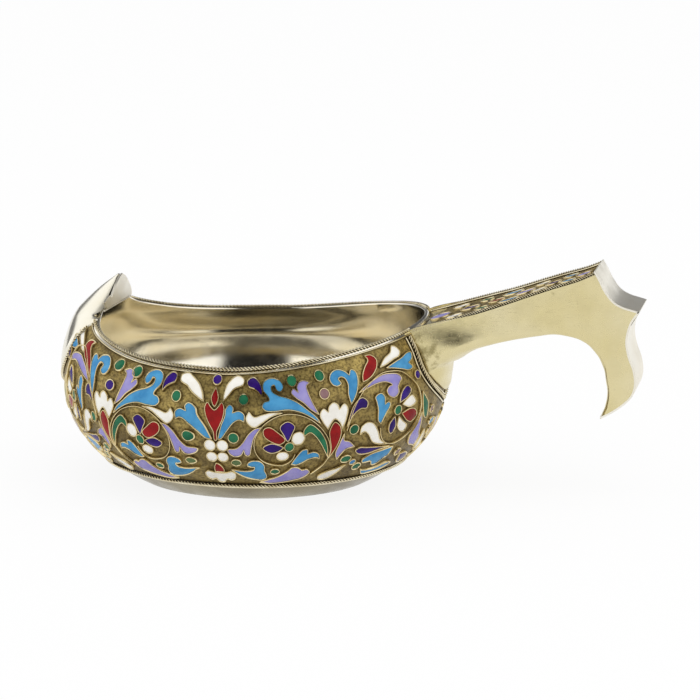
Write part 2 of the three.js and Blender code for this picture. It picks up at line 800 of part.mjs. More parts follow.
// An enamel cell: a flat outline laid on its ground by place, from the seat gap to the enamel's top.
function inlayBody(outline, place) {
  const points = outline.map((point) => point.clone());
  const flat = splitLongEdges(points, THREE.ShapeUtils.triangulateShape(points, []), longestInlayEdge);
  const count = points.length;
  const top = points.map((point) => place(point.x, point.y, seatGap + enamelThickness));
  const bottom = points.map((point) => place(point.x, point.y, seatGap));
  const edges = new Set(flat.flatMap(([a, b, c]) => [`${a} ${b}`, `${b} ${c}`, `${c} ${a}`]));
  const faces = flat.flatMap(([a, b, c]) => [[a, b, c], [c + count, b + count, a + count]]);
  for (const edge of edges) {
    const [from, to] = edge.split(" ").map(Number);
    if (!edges.has(`${to} ${from}`)) {
      faces.push([to, from, from + count], [to, from + count, to + count]);
    }
  }
  return bodyFrom([...top, ...bottom], faces);
}

function mirroredOutline(halfControls) {
  const inner = halfControls.filter(([along]) => along > 0);
  return [...halfControls, ...inner.map(([along, up]) => [-along, up]).reverse()];
}

// A flower: petals of their own reach round a small centre, as one outline.
const petalHalfAngle = 24;
const flowerSteps = 36;

function flowerOutline({ centre, core, petals }) {
  return Array.from({ length: flowerSteps }, (unused, step) => {
    const angle = (360 * step) / flowerSteps;
    let reach = core;
    for (const [direction, length] of petals) {
      const away = Math.abs(THREE.MathUtils.euclideanModulo(angle - direction + 180, 360) - 180);
      const swell = Math.cos((quarterTurn * Math.min(away, petalHalfAngle)) / petalHalfAngle);
      reach = Math.max(reach, core + (length - core) * Math.sqrt(swell));
    }
    const turn = THREE.MathUtils.degToRad(angle);
    return new THREE.Vector2(centre[0] + reach * Math.cos(turn), centre[1] + reach * Math.sin(turn));
  });
}

// Middle of each side, in squares
const tulipShares = [
  [0, 26.6], [0.7, 25], [0.75, 23.8], [1.75, 24], [1.8, 22.4], [1.1, 19.4], [0.35, 17], [0, 16.6],
];
const fanShares = [
  [0, 10.6], [1, 9.9], [1.7, 9.3], [3.3, 8.7], [4.1, 7.7], [3.3, 6.8], [2, 7.2], [1.3, 6.5], [0, 6.4],
];
const dotsShares = {
  centre: [0, 13.6],
  core: 1.7,
  petals: [[50, 2.75], [130, 2.75], [230, 2.75], [310, 2.75]],
};

// One panel, in squares from the middle of the side
const innerScrollShares = [
  [22.2, 8.2], [23.9, 10], [24.4, 12.3], [23.9, 15.2], [22.6, 18], [20.9, 20], [18.4, 21.2], [15, 21.7],
  [11.6, 21.1], [9.1, 19.2], [8.2, 16.4], [8.4, 13.9], [9.5, 11.9], [11.6, 10.8], [14.2, 10.6],
  [16.2, 11.6], [17, 13],
];
const outerScrollShares = [
  [28, 17.4], [28.6, 20.2], [29.8, 23], [31.6, 25.2], [34.2, 26.9], [37.6, 28], [41.5, 28], [45, 26.2],
  [47.6, 23.4], [48.5, 20.4], [48, 17.3], [46.2, 14.8], [43.4, 13.2], [40.6, 13.4], [38.2, 15.1],
  [37, 17.4], [37.3, 19.2],
];
const innerRosetteShares = {
  centre: [15.3, 15.1],
  core: 1.2,
  petals: [[42, 3.4], [100, 4.4], [145, 5.7], [187, 5], [235, 3.6]],
};
const outerRosetteShares = {
  centre: [40.9, 20.1],
  core: 1.2,
  petals: [[52, 5], [17, 5.2], [340, 6.2], [302, 5], [256, 4]],
};
const curledLeafShares = [
  [20.2, 21.9], [17.6, 22.6], [15.2, 22.9], [13, 22.9], [11.2, 22.9], [9.9, 23.3], [9.9, 24.2], [11, 24.5],
  [11.3, 25], [10.4, 25.9], [10.1, 27], [10.8, 27.9], [12.4, 28.1], [13.7, 27.8], [14.1, 26.9],
  [13.3, 26.3], [12.7, 26.9], [12.2, 27.2], [11.8, 26.6], [12.4, 25.8], [13.5, 25.3], [15.5, 25], [18, 24],
];
const palmetteShares = [
  [25.1, 13.4], [25.9, 15], [26.3, 17.2], [27.1, 18.8], [27.4, 20.6], [27.7, 22.3], [27, 23.1],
  [26.2, 22.7], [25.8, 22.2], [25.5, 23.2], [24.7, 23.6], [23.9, 23.1], [23.5, 22], [22.9, 22.6],
  [22.1, 22.3], [22, 21.4], [23, 19.6], [24, 17.4], [24.8, 15.2],
];
const hookLeafShares = [
  [28.9, 24.1], [29.9, 26], [30.8, 28.2], [30.8, 29.4], [30, 29.8], [29.4, 29.1], [28.8, 28.8], [28, 29.5],
  [26.6, 29.7], [25.2, 29.1], [24.7, 28], [25.3, 27], [26.5, 26.9], [26.9, 27.7], [27.4, 28.2],
  [28.1, 27.6], [28.4, 26],
];
const longLeafShares = [
  [10.9, 6.8], [12.8, 6.5], [15.8, 6.6], [18.6, 7], [20.6, 7.7], [20.9, 8.4], [20.3, 9], [19.4, 8.8],
  [18.5, 9.5], [17.5, 9.8], [16, 8.9], [14, 7.9], [12.4, 7.4],
];

const sides = [["near", 1], ["far", -1]];
const ends = [["handle", 1], ["prow", -1]];
const scrollSteps = 2;
const leafSteps = 1;

function scrollBody(controls, panel) {
  const place = squareOnBowl(panel);
  const path = smoothed(controls, false, scrollSteps).map(({ x, y }) => {
    const point = place(x, y, seatGap + scrollWireDiameter / 2);
    return { point, up: place(x, y, enamelThickness + seatGap * 2).sub(place(x, y, 0)).normalize() };
  });
  return wireBody(path, scrollWireDiameter);
}

for (const [sideName, side] of sides) {
  const middle = squareOnBowl({ side, end: 1 });
  const tulip = smoothed(mirroredOutline(tulipShares), true, leafSteps);
  addPiece(`${sideName}_tulip`, inlayBody(tulip, middle), red);
  addPiece(`${sideName}_four_dots`, inlayBody(flowerOutline(dotsShares), middle), white);
  const fan = smoothed(mirroredOutline(fanShares), true, leafSteps);
  addPiece(`${sideName}_fan`, inlayBody(fan, middle), white);
  for (const [endName, end] of ends) {
    const panel = { side, end };
    const place = squareOnBowl(panel);
    const label = `${sideName}_${endName}`;
    const leaf = (shares) => inlayBody(smoothed(shares, true, leafSteps), place);
    addPiece(`${label}_inner_scroll`, scrollBody(innerScrollShares, panel), wireGilt);
    addPiece(`${label}_outer_scroll`, scrollBody(outerScrollShares, panel), wireGilt);
    addPiece(`${label}_inner_rosette`, inlayBody(flowerOutline(innerRosetteShares), place), cobalt);
    addPiece(`${label}_outer_rosette`, inlayBody(flowerOutline(outerRosetteShares), place), cobalt);
    addPiece(`${label}_curled_leaf`, leaf(curledLeafShares), turquoise);
    addPiece(`${label}_palmette`, leaf(palmetteShares), white);
    addPiece(`${label}_hook_leaf`, leaf(hookLeafShares), turquoise);
    addPiece(`${label}_long_leaf`, leaf(longLeafShares), lilac);
  }
}

// Handle inlay: a lobed stem of enamel along the top plate
const inlayStartShare = 0.22;
const inlayEndShare = 0.93;
const inlayWaistShare = 0.35;
const inlayLobes = 3;
const inlaySteps = 24;

function handleInlay() {
  const first = topStations[0];
  const last = topStations[topStations.length - 1];
  const along = last.high.clone().sub(first.high);
  const up = new THREE.Vector3(-along.z, 0, along.x).normalize();
  const place = (share, side, offset) => {
    const point = first.high.clone().addScaledVector(along, share);
    return point.addScaledVector(up, offset - ropeDiameter).setY(side);
  };
  const edge = Array.from({ length: inlaySteps + 1 }, (unused, step) => {
    const share = inlayStartShare + ((inlayEndShare - inlayStartShare) * step) / inlaySteps;
    const swell = Math.abs(Math.sin((Math.PI * inlayLobes * step) / inlaySteps));
    return [share, (handleInlayWidth / 2) * (inlayWaistShare + (1 - inlayWaistShare) * swell)];
  });
  const outline = [...edge, ...edge.map(([share, side]) => [share, -side]).reverse()];
  return inlayBody(outline.map(([share, side]) => new THREE.Vector2(share, side)), place);
}

addPiece("handle_inlay", handleInlay(), lilac);

export default kovsh;
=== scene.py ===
"""The looks of a kovsh: a small silver-gilt drinking scoop with a cloisonne enamel band.

Each class builds one sub-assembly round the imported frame. The classes work in millimetres, with +X
towards the handle, -X towards the prow and the near side at -Y, and MeshStock writes metres.
"""

import logging
import math
from collections.abc import Callable, Sequence
from dataclasses import dataclass, field
from enum import Enum, auto

import bpy
import numpy as np
from mathutils import Matrix, Vector
from mathutils.geometry import delaunay_2d_cdt


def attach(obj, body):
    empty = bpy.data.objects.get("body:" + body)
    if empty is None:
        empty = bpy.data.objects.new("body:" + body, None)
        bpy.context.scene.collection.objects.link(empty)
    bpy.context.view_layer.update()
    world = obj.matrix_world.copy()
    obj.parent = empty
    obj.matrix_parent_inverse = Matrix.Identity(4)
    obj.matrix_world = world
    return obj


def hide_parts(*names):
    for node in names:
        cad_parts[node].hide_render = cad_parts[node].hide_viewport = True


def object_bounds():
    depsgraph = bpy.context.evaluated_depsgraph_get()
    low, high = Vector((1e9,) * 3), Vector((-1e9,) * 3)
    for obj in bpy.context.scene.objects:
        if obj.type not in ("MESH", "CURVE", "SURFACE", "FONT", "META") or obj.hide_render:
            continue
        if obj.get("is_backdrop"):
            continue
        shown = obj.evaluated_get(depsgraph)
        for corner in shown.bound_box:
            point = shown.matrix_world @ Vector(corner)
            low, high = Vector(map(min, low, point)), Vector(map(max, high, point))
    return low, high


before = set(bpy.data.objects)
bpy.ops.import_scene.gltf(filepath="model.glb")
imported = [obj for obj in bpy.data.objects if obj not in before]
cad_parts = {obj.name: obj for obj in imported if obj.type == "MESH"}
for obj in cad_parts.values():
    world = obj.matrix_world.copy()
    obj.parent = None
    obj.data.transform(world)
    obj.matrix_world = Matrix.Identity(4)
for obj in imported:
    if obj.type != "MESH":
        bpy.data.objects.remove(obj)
cad_low, cad_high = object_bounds()

log = logging.getLogger("kovsh")

METRE = 0.001
QUARTER = math.pi / 2
BODY = "root"
# The step between the points of a cell's outline, in squares of its pattern
WIRE_STEP = 0.28

Array = np.ndarray
Material = bpy.types.Material
Socket = bpy.types.NodeSocket
Colour = tuple[float, float, float]
Span = tuple[float, float]
Place = Callable[[Array, Array, Array], Array]
Control = Sequence[float]


class Side(Enum):
    """A long side of the kovsh, with what takes the near side's Y to it."""

    NEAR = 1
    FAR = -1


class End(Enum):
    """An end of the kovsh, with the sign that the pattern's length takes."""

    HANDLE = 1
    PROW = -1


# The finishes


class Tree:
    """A node tree with a short way to add and join nodes."""

    def __init__(self, tree: bpy.types.NodeTree) -> None:
        """Keep the tree."""
        self.tree = tree

    def add(self, kind: str, **settings: object) -> bpy.types.Node:
        """Add a node and give it its settings.

        Args:
            kind: Blender's name of the node type.
            **settings: The node's own properties.

        Returns:
            The new node.
        """
        node = self.tree.nodes.new(kind)
        for key, value in settings.items():
            setattr(node, key, value)
        return node

    def join(self, source: Socket, target: Socket) -> None:
        """Link an output to an input."""
        self.tree.links.new(source, target)

    def ranged(self, value: Socket, start: Span, finish: Span, smooth: bool = False) -> Socket:
        """Map a value from one range to another.

        Args:
            value: The value to map.
            start: The range it is read in.
            finish: The range it is mapped to.
            smooth: True where it eases in and out.

        Returns:
            The mapped value.
        """
        easing = "SMOOTHSTEP" if smooth else "LINEAR"
        node = self.add("ShaderNodeMapRange", interpolation_type=easing)
        for socket, number in zip(node.inputs[1:5], (*start, *finish)):
            socket.default_value = number
        self.join(value, node.inputs["Value"])
        return node.outputs["Result"]

    def combined(
        self, way: str, first: Socket, second: Socket | float, clamped: bool = False
    ) -> Socket:
        """Join two values by arithmetic.

        Args:
            way: Blender's name of the operation.
            first: The first value.
            second: The second value, or a number.
            clamped: True where the result is held within 0 and 1.

        Returns:
            The result.
        """
        node = self.add("ShaderNodeMath", operation=way, use_clamp=clamped)
        self.join(first, node.inputs[0])
        if isinstance(second, float):
            node.inputs[1].default_value = second
        else:
            self.join(second, node.inputs[1])
        return node.outputs["Value"]

    def blended(self, share: Socket, first: Socket, second: Socket) -> Socket:
        """Mix two shaders by a share: 0 for the first and 1 for the second."""
        node = self.add("ShaderNodeMixShader")
        for source, target in zip((share, first, second), node.inputs):
            self.join(source, target)
        return node.outputs["Shader"]


class Nodes(Tree):
    """The node tree of a finish, which reads the object's own place."""

    def __init__(self, name: str) -> None:
        """Start a material with one Principled shader.

        Args:
            name: The material's name.
        """
        self.material = bpy.data.materials.new(name)
        self.material.use_nodes = True
        super().__init__(self.material.node_tree)
        self.shader = self.tree.nodes["Principled BSDF"]
        self.place = self.add("ShaderNodeTexCoord").outputs["Object"]

    def stretched(self, scale: tuple[float, float, float]) -> Socket:
        """Give the object's place stretched by a scale, for scratches and brushing."""
        node = self.add("ShaderNodeMapping")
        node.inputs["Scale"].default_value = scale
        self.join(self.place, node.inputs["Vector"])
        return node.outputs["Vector"]

    def noise(
        self, size: float, detail: float = 3, rough: float = 0.5, vector: Socket | None = None
    ) -> Socket:
        """Add a noise of a given feature size.

        Args:
            size: The size of a patch in millimetres.
            detail: The number of finer layers.
            rough: How strong the finer layers are.
            vector: The place to read, the object's own if left out.

        Returns:
            The noise from 0 to 1.
        """
        node = self.add("ShaderNodeTexNoise")
        node.inputs["Scale"].default_value = 1 / (size * METRE)
        node.inputs["Detail"].default_value = detail
        node.inputs["Roughness"].default_value = rough
        self.join(vector or self.place, node.inputs["Vector"])
        return node.outputs["Fac"]

    def grains(self, size: float) -> Socket:
        """Give the distance to the nearest of many scattered punch marks of a size in millimetres."""
        node = self.add("ShaderNodeTexVoronoi")
        node.inputs["Scale"].default_value = 1 / (size * METRE)
        self.join(self.place, node.inputs["Vector"])
        return node.outputs["Distance"]

    def hollows(self, reach: float, span: Span) -> Socket:
        """Give the share by which a place lies in a hollow.

        Args:
            reach: How far in millimetres the walls of a hollow are looked for.
            span: The openness at which it counts fully and not at all.

        Returns:
            The share from 0 to 1.
        """
        corner = self.add("ShaderNodeAmbientOcclusion", samples=6, only_local=False)
        corner.inputs["Distance"].default_value = reach * METRE
        return self.ranged(corner.outputs["AO"], span, (1, 0))

    def mixed(self, share: Socket, first: Socket | Colour, second: Socket | Colour) -> Socket:
        """Mix two colours by a share.

        Args:
            share: 0 for the first colour and 1 for the second.
            first: A colour or a socket.
            second: A colour or a socket.

        Returns:
            The mixed colour.
        """
        node = self.add("ShaderNodeMix", data_type="RGBA")
        self.join(share, node.inputs["Factor"])
        colours = [socket for socket in node.inputs if socket.type == "RGBA"]
        for socket, colour in zip(colours, (first, second)):
            if isinstance(colour, tuple):
                socket.default_value = (*colour, 1)
            else:
                self.join(colour, socket)
        return next(socket for socket in node.outputs if socket.type == "RGBA")

    def bump(self, height: Socket, depth: float, strength: float) -> None:
        """Add a bump to the shader on top of the ones before it.

        Args:
            height: The height from 0 to 1.
            depth: The height of 1 in millimetres.
            strength: How much of it shows.
        """
        node = self.add("ShaderNodeBump")
        node.inputs["Strength"].default_value = strength
        node.inputs["Distance"].default_value = depth * METRE
        self.join(height, node.inputs["Height"])
        normal = self.shader.inputs["Normal"]
        if normal.is_linked:
            self.join(normal.links[0].from_socket, node.inputs["Normal"])
        self.join(node.outputs["Normal"], normal)

    def set(self, **values: object) -> None:
        """Set the shader's own sockets, with underscores for the spaces in their names."""
        for name, value in values.items():
            self.shader.inputs[name.replace("_", " ")].default_value = value


@dataclass(frozen=True)
class Gilt:
    """Polished silver-gilt: sheet, strip or wire."""

    name: str
    colour: Colour
    worn: Colour
    smooth: float = 0.14
    rough: float = 0.26
    patch: float = 14
    dent: float = 0.04
    scratch: float = 0.12
    # Where set, a painted shade in the hollows: between a rope's strands and where a wire sits on the bowl
    groove_shade: Colour | None = None
    # Where set, the colour of a painted shade round one place, over faint cloudy stains elsewhere
    smudge: Colour | None = None
    # The centre of that painted shade: the handle's root on the near side, by the bowl
    painted_shade_at: tuple[float, float, float] = (38.5, -12.5, 30)

    def material(self) -> Material:
        """Make the material: patchy colour and polish, long shallow waves, fine scratches.

        Returns:
            The material.
        """
        nodes = Nodes(self.name)
        nodes.set(Metallic=1.0)
        patches = nodes.ranged(nodes.noise(self.patch, 4), (0.35, 0.68), (0, 1))
        colour = nodes.mixed(patches, self.colour, self.worn)
        # Painted shade round the handle's root, mixed with faint stains
        if self.smudge:
            colour = nodes.mixed(self.stain_and_shade_share(nodes), colour, self.smudge)
        # Painted shade: the colour turns dark in the hollows, between strands and under the wires
        if self.groove_shade:
            colour = nodes.mixed(nodes.hollows(0.3, (0.45, 0.95)), colour, self.groove_shade)
        nodes.join(colour, nodes.shader.inputs["Base Color"])
        polish = nodes.ranged(nodes.noise(3, 5), (0.3, 0.7), (self.smooth, self.rough))
        nodes.join(polish, nodes.shader.inputs["Roughness"])
        nodes.bump(nodes.noise(9, 1), self.dent, 0.5)
        across = nodes.noise(1, 3, 0.6, nodes.stretched((0.3, 1, 5)))
        nodes.bump(nodes.ranged(across, (0.6, 0.66), (0, 1)), 0.01, self.scratch)
        along = nodes.noise(0.8, 3, 0.6, nodes.stretched((6, 1, 0.4)))
        nodes.bump(nodes.ranged(along, (0.62, 0.68), (0, 1)), 0.01, self.scratch)
        return nodes.material

    def stain_and_shade_share(self, nodes: Nodes) -> Socket:
        """Give the share of darkening: a cloudy painted shade round one place, and faint stains elsewhere.
        """
        away = nodes.add("ShaderNodeVectorMath", operation="DISTANCE")
        nodes.join(nodes.place, away.inputs[0])
        away.inputs[1].default_value = tuple(v * METRE for v in self.painted_shade_at)
        # Painted shade: the darkening is made stronger near one place
        near = nodes.ranged(away.outputs["Value"], (1 * METRE, 7 * METRE), (0.26, 0))
        cloud = nodes.combined("ADD", nodes.noise(2.2, 6, 0.62), near)
        return nodes.ranged(cloud, (0.66, 0.82), (0, 0.85))


@dataclass(frozen=True)
class MattedGround:
    """Gilt ground punched all over with a fine tool, darker towards the bottom and in its hollows: painted
    shade, with some patina in the hollows.
    """

    name: str
    bright: Colour
    dull: Colour
    # The darkest tone: for the specks, and for the painted shade at the bottom and in the corners
    dark: Colour

    def material(self) -> Material:
        """Make the material: punch marks, cloudy dull patches, painted shade towards the bottom, and dark
        corners by the wires, partly patina and partly painted shade.

        Returns:
            The material.
        """
        nodes = Nodes(self.name)
        nodes.set(Metallic=1.0)
        patches = nodes.ranged(nodes.noise(5, 5, 0.6), (0.35, 0.62), (0, 1))
        ground = nodes.mixed(patches, self.bright, self.dull)
        specks = nodes.ranged(nodes.noise(0.5, 3, 0.6), (0.42, 0.66), (0, 0.7))
        ground = nodes.mixed(specks, ground, self.dark)
        # Painted shade: the ground is painted darker towards the bottom of the band
        parts = nodes.add("ShaderNodeSeparateXYZ")
        nodes.join(nodes.place, parts.inputs["Vector"])
        low = nodes.ranged(parts.outputs["Z"], (4 * METRE, 30 * METRE), (0.5, 0))
        ground = nodes.mixed(low, ground, self.dark)
        # Dark corners by the wires: partly patina, partly painted shade
        ground = nodes.mixed(nodes.hollows(0.8, (0.35, 0.95)), ground, self.dark)
        nodes.join(ground, nodes.shader.inputs["Base Color"])
        grit = nodes.ranged(nodes.noise(0.6, 3), (0.3, 0.7), (0.36, 0.56))
        nodes.join(grit, nodes.shader.inputs["Roughness"])
        nodes.bump(nodes.grains(0.34), 0.06, 0.55)
        nodes.bump(nodes.noise(0.8, 4, 0.6), 0.05, 0.5)
        return nodes.material


@dataclass(frozen=True)
class Glass:
    """Opaque fired enamel: glossy, a little wavy, with its colour pooled unevenly."""

    name: str
    colour: Colour
    pooled: Colour
    pits: float = 0.15

    def material(self) -> Material:
        """Make the material: pooled colour, a clear gloss and a few pits.

        Returns:
            The material.
        """
        nodes = Nodes(self.name)
        nodes.set(Coat_Weight=0.0, Specular_IOR_Level=0.14)
        pool = nodes.ranged(nodes.noise(2.6, 3), (0.36, 0.66), (0, 1))
        colour = nodes.mixed(pool, self.colour, self.pooled)
        nodes.join(colour, nodes.shader.inputs["Base Color"])
        gloss = nodes.ranged(nodes.noise(0.9, 3), (0.3, 0.7), (0.1, 0.24))
        nodes.join(gloss, nodes.shader.inputs["Roughness"])
        nodes.bump(nodes.noise(1.1, 2), 0.07, 0.4)
        nodes.bump(nodes.ranged(nodes.noise(0.3, 2), (0.28, 0.36), (0, 1)), 0.03, self.pits)
        return nodes.material


INNER_GILT = Gilt("inner_gilt", (0.87, 0.84, 0.75), (0.84, 0.77, 0.6), smooth=0.1, rough=0.18, patch=22)
PALE_GILT = Gilt("pale_gilt", (0.84, 0.81, 0.71), (0.78, 0.73, 0.58), smooth=0.15, rough=0.25)
HANDLE_GILT = Gilt(
    "handle_gilt",
    (0.7, 0.61, 0.33),
    (0.76, 0.68, 0.43),
    smooth=0.2,
    rough=0.34,
    scratch=0.45,
    # painted shade round the handle's root, over faint stains
    smudge=(0.3, 0.25, 0.11),
)
PLATE_GILT = Gilt("plate_gilt", (0.93, 0.9, 0.81), (0.88, 0.83, 0.7), smooth=0.34, rough=0.5)
# Painted shade: a dark copy of the gilt for the foot, which lies under the belly
SHADED_FOOT_GILT = Gilt("foot_gilt", (0.29, 0.25, 0.15), (0.19, 0.155, 0.085), smooth=0.2, rough=0.36)
WIRE_GILT = Gilt(
    "wire_gilt",
    (0.88, 0.8, 0.58),
    (0.62, 0.52, 0.31),
    smooth=0.18,
    rough=0.3,
    patch=4,
    scratch=0,
    # painted shade between the strands and under the wires
    groove_shade=(0.06, 0.04, 0.02),
)
CELL_GILT = Gilt(
    "cell_gilt",
    (0.8, 0.68, 0.4),
    (0.6, 0.48, 0.24),
    smooth=0.2,
    rough=0.32,
    patch=3,
    scratch=0,
)
GROUND = MattedGround("matted_ground", (0.56, 0.42, 0.14), (0.26, 0.19, 0.07), (0.045, 0.03, 0.015))


class Enamel(Enum):
    """The enamel colours, each with its finish."""

    TURQUOISE = Glass("turquoise_enamel", (0.045, 0.235, 0.48), (0.085, 0.34, 0.61))
    SKY = Glass("sky_enamel", (0.06, 0.24, 0.5), (0.05, 0.19, 0.44))
    LILAC = Glass("lilac_enamel", (0.27, 0.24, 0.57), (0.36, 0.32, 0.62))
    COBALT = Glass("cobalt_enamel", (0.022, 0.005, 0.11), (0.036, 0.01, 0.2))
    RED = Glass("red_enamel", (0.33, 0.008, 0.008), (0.2, 0.005, 0.005))
    GREEN = Glass("green_enamel", (0.01, 0.1, 0.047), (0.025, 0.18, 0.085))
    WHITE = Glass("white_enamel", (0.94, 0.92, 0.86), (0.86, 0.83, 0.76), pits=0.5)
    MAUVE = Glass("mauve_enamel", (0.22, 0.12, 0.13), (0.3, 0.18, 0.18))
    OLIVE = Glass("olive_enamel", (0.12, 0.18, 0.07), (0.08, 0.13, 0.05))

    @property
    def label(self) -> str:
        """The colour's name in small letters."""
        return self.name.lower()

    @property
    def slot(self) -> str:
        """The slot's name, which a few cells of rarer colours share with a near one."""
        if self in (Enamel.SKY, Enamel.GREEN, Enamel.OLIVE):
            return "turquoise_enamel"
        if self is Enamel.MAUVE:
            return "red_enamel"
        return f"{self.label}_enamel"


TURQUOISE, SKY, LILAC, COBALT, RED, GREEN, WHITE, MAUVE, OLIVE = Enamel


# Meshes and lines


@dataclass
class MeshStock:
    """Points and faces gathered for one piece, in millimetres."""

    points: list[Array] = field(default_factory=list)
    faces: list[tuple[int, ...]] = field(default_factory=list)
    finishes: list[int] = field(default_factory=list)
    count: int = 0

    def add(self, points: Array, faces: Sequence[Sequence[int]], finish: int = 0) -> None:
        """Add a shell.

        Args:
            points: Its points, one row each.
            faces: Its faces, as indices of its own points.
            finish: The place of its material on the piece.
        """
        self.points.append(np.asarray(points, float).reshape(-1, 3))
        self.faces.extend(tuple(int(i) + self.count for i in face) for face in faces)
        self.finishes.extend([finish] * len(faces))
        self.count += len(self.points[-1])

    def add_rings(
        self,
        rings: Array,
        joined: bool = False,
        capped: bool = True,
        finishes: Sequence[int] | None = None,
    ) -> None:
        """Add a tube through rings of points.

        Args:
            rings: An array of rings, points and coordinates.
            joined: True where the last ring meets the first.
            capped: True where the two ends are closed by flat faces.
            finishes: A material's place for each band between rings.
        """
        count, around = rings.shape[:2]
        bands = count if joined else count - 1
        base = self.count
        self.points.append(rings.reshape(-1, 3))
        self.count += count * around
        step = np.arange(around)
        turn = (step + 1) % around
        for band in range(bands):
            here, after = base + band * around, base + ((band + 1) % count) * around
            quads = np.stack([here + step, here + turn, after + turn, after + step], 1)
            self.faces.extend(map(tuple, quads.tolist()))
            self.finishes.extend([finishes[band] if finishes else 0] * around)
        if capped and not joined:
            self.faces.append(tuple(range(base + around - 1, base - 1, -1)))
            last = base + (count - 1) * around
            self.faces.append(tuple(range(last, last + around)))
            self.finishes.extend([finishes[0] if finishes else 0, finishes[-1] if finishes else 0])

    def piece(
        self,
        name: str,
        materials: Sequence[Material],
        slot: str,
        replaced: Sequence[str] = (),
        crease: float = 40,
    ) -> bpy.types.Object:
        """Write the piece in metres and hang it on the kovsh.

        Args:
            name: The piece's name.
            materials: Its materials, in the order of the faces' finishes.
            slot: A material slot's name; not used.
            replaced: The CAD nodes that it stands for.
            crease: The angle in degrees beyond which an edge stays sharp.

        Returns:
            The new object.
        """
        mesh = bpy.data.meshes.new(name)
        points = np.concatenate(self.points) * METRE
        mesh.from_pydata(points.tolist(), [], self.faces)
        mesh.validate()
        for material in materials:
            mesh.materials.append(material)
        if len(materials) > 1:
            mesh.polygons.foreach_set("material_index", self.finishes)
        mesh.shade_smooth()
        mesh.set_sharp_from_angle(angle=math.radians(crease))
        mesh.update()
        made = bpy.data.objects.new(name, mesh)
        bpy.context.scene.collection.objects.link(made)
        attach(made, BODY)
        if replaced:
            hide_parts(*replaced)
        log.info("%s: %d faces, for %s", name, len(mesh.polygons), list(replaced) or "no CAD node")
        return made


def bevelled(piece: bpy.types.Object, width: float, segments: int = 2, angle: float = 35) -> None:
    """Round a piece's sharp edges with a bevel in millimetres."""
    modifier = piece.modifiers.new("edge", "BEVEL")
    modifier.width = width * METRE
    modifier.segments = segments
    modifier.limit_method = "ANGLE"
    modifier.angle_limit = math.radians(angle)
    modifier.harden_normals = True


def length_along(line: Array) -> Array:
    """Give each point's length along a line from its start."""
    return np.concatenate([[0], np.cumsum(np.linalg.norm(np.diff(line, axis=0), axis=1))])


def evenly(line: Array, step: float) -> Array:
    """Set a line out again at an even step.

    Args:
        line: Its points, one row each.
        step: The step in millimetres.

    Returns:
        The new points, with the old ends.
    """
    lengths = length_along(line)
    count = max(3, math.ceil(lengths[-1] / step) + 1)
    places = np.linspace(0, lengths[-1], count)
    return np.stack([np.interp(places, lengths, line[:, k]) for k in range(line.shape[1])], 1)


def flowing(points: Array, closed: bool, per_span: int = 12) -> Array:
    """Draw a smooth line through points.

    Args:
        points: The points, one row each.
        closed: True where the line meets its own start.
        per_span: The number of steps between two points.

    Returns:
        The line's points; a closed line ends on its start.
    """
    if closed:
        points = np.concatenate([points[-1:], points, points[:2]])
    else:
        points = np.concatenate([2 * points[:1] - points[1:2], points, 2 * points[-1:] - points[-2:-1]])
    knots = np.sqrt(np.maximum(np.linalg.norm(np.diff(points, axis=0), axis=1), 1e-6))
    slopes = np.diff(points, axis=0) / knots[:, None]
    before, after = knots[:-1, None], knots[1:, None]
    tangents = (slopes[:-1] * after + slopes[1:] * before) / (before + after)
    share = np.arange(per_span)[:, None] / per_span
    made = []
    for i in range(1, len(points) - 2):
        reach = knots[i]
        first, second = tangents[i - 1] * reach, tangents[i] * reach
        made.append(
            (2 * share**3 - 3 * share**2 + 1) * points[i]
            + (share**3 - 2 * share**2 + share) * first
            + (3 * share**2 - 2 * share**3) * points[i + 1]
            + (share**3 - share**2) * second
        )
    made.append(points[-2:-1])
    return np.concatenate(made)


def outline_through(controls: Sequence[Control], closed: bool = True) -> Array:
    """Draw an outline through control points. A third value marks a sharp tip.

    Args:
        controls: The control points.
        closed: True for a cell and False for a free wire.

    Returns:
        The outline; a closed one doesn't repeat its start.
    """
    points = np.array([control[:2] for control in controls], float)
    tips = [i for i, control in enumerate(controls) if len(control) > 2]
    if not closed:
        return evenly(flowing(points, False), WIRE_STEP)
    if not tips:
        return evenly(flowing(points, True), WIRE_STEP)[:-1]
    points = np.roll(points, -tips[0], axis=0)
    points = np.concatenate([points, points[:1]])
    stops = [tip - tips[0] for tip in tips] + [len(controls)]
    runs = [flowing(points[a : b + 1], False) for a, b in zip(stops, stops[1:])]
    return np.concatenate([evenly(run, WIRE_STEP)[:-1] for run in runs])


def edge_normals(line: Array, closed: bool) -> Array:
    """Give the unit normals to the right of a flat line's points."""
    if closed:
        along = np.roll(line, -1, axis=0) - np.roll(line, 1, axis=0)
    else:
        along = np.gradient(line, axis=0)
    along /= np.maximum(np.linalg.norm(along, axis=1, keepdims=True), 1e-9)
    return np.stack([along[:, 1], -along[:, 0]], 1)


def strip_rings(line: Array, closed: bool, place: Place, half: float, low: float, high: float) -> Array:
    """Stand a rounded cell wire on a flat line.

    Args:
        line: The line in squares.
        closed: True where it meets its own start.
        place: Where a square lies on the kovsh.
        half: Half the wire's thickness.
        low: The offset of its foot.
        high: The offset of its top.

    Returns:
        The wire's rings.
    """
    normals = edge_normals(line, closed)
    section_shares = [(-1, 0), (-1, 0.86), (-0.55, 1), (0.55, 1), (1, 0.86), (1, 0)]
    columns = []
    for across, up in section_shares:
        moved = line + normals * half * across
        columns.append(place(moved[:, 0], moved[:, 1], np.full(len(line), low + (high - low) * up)))
    return np.stack(columns, 1)


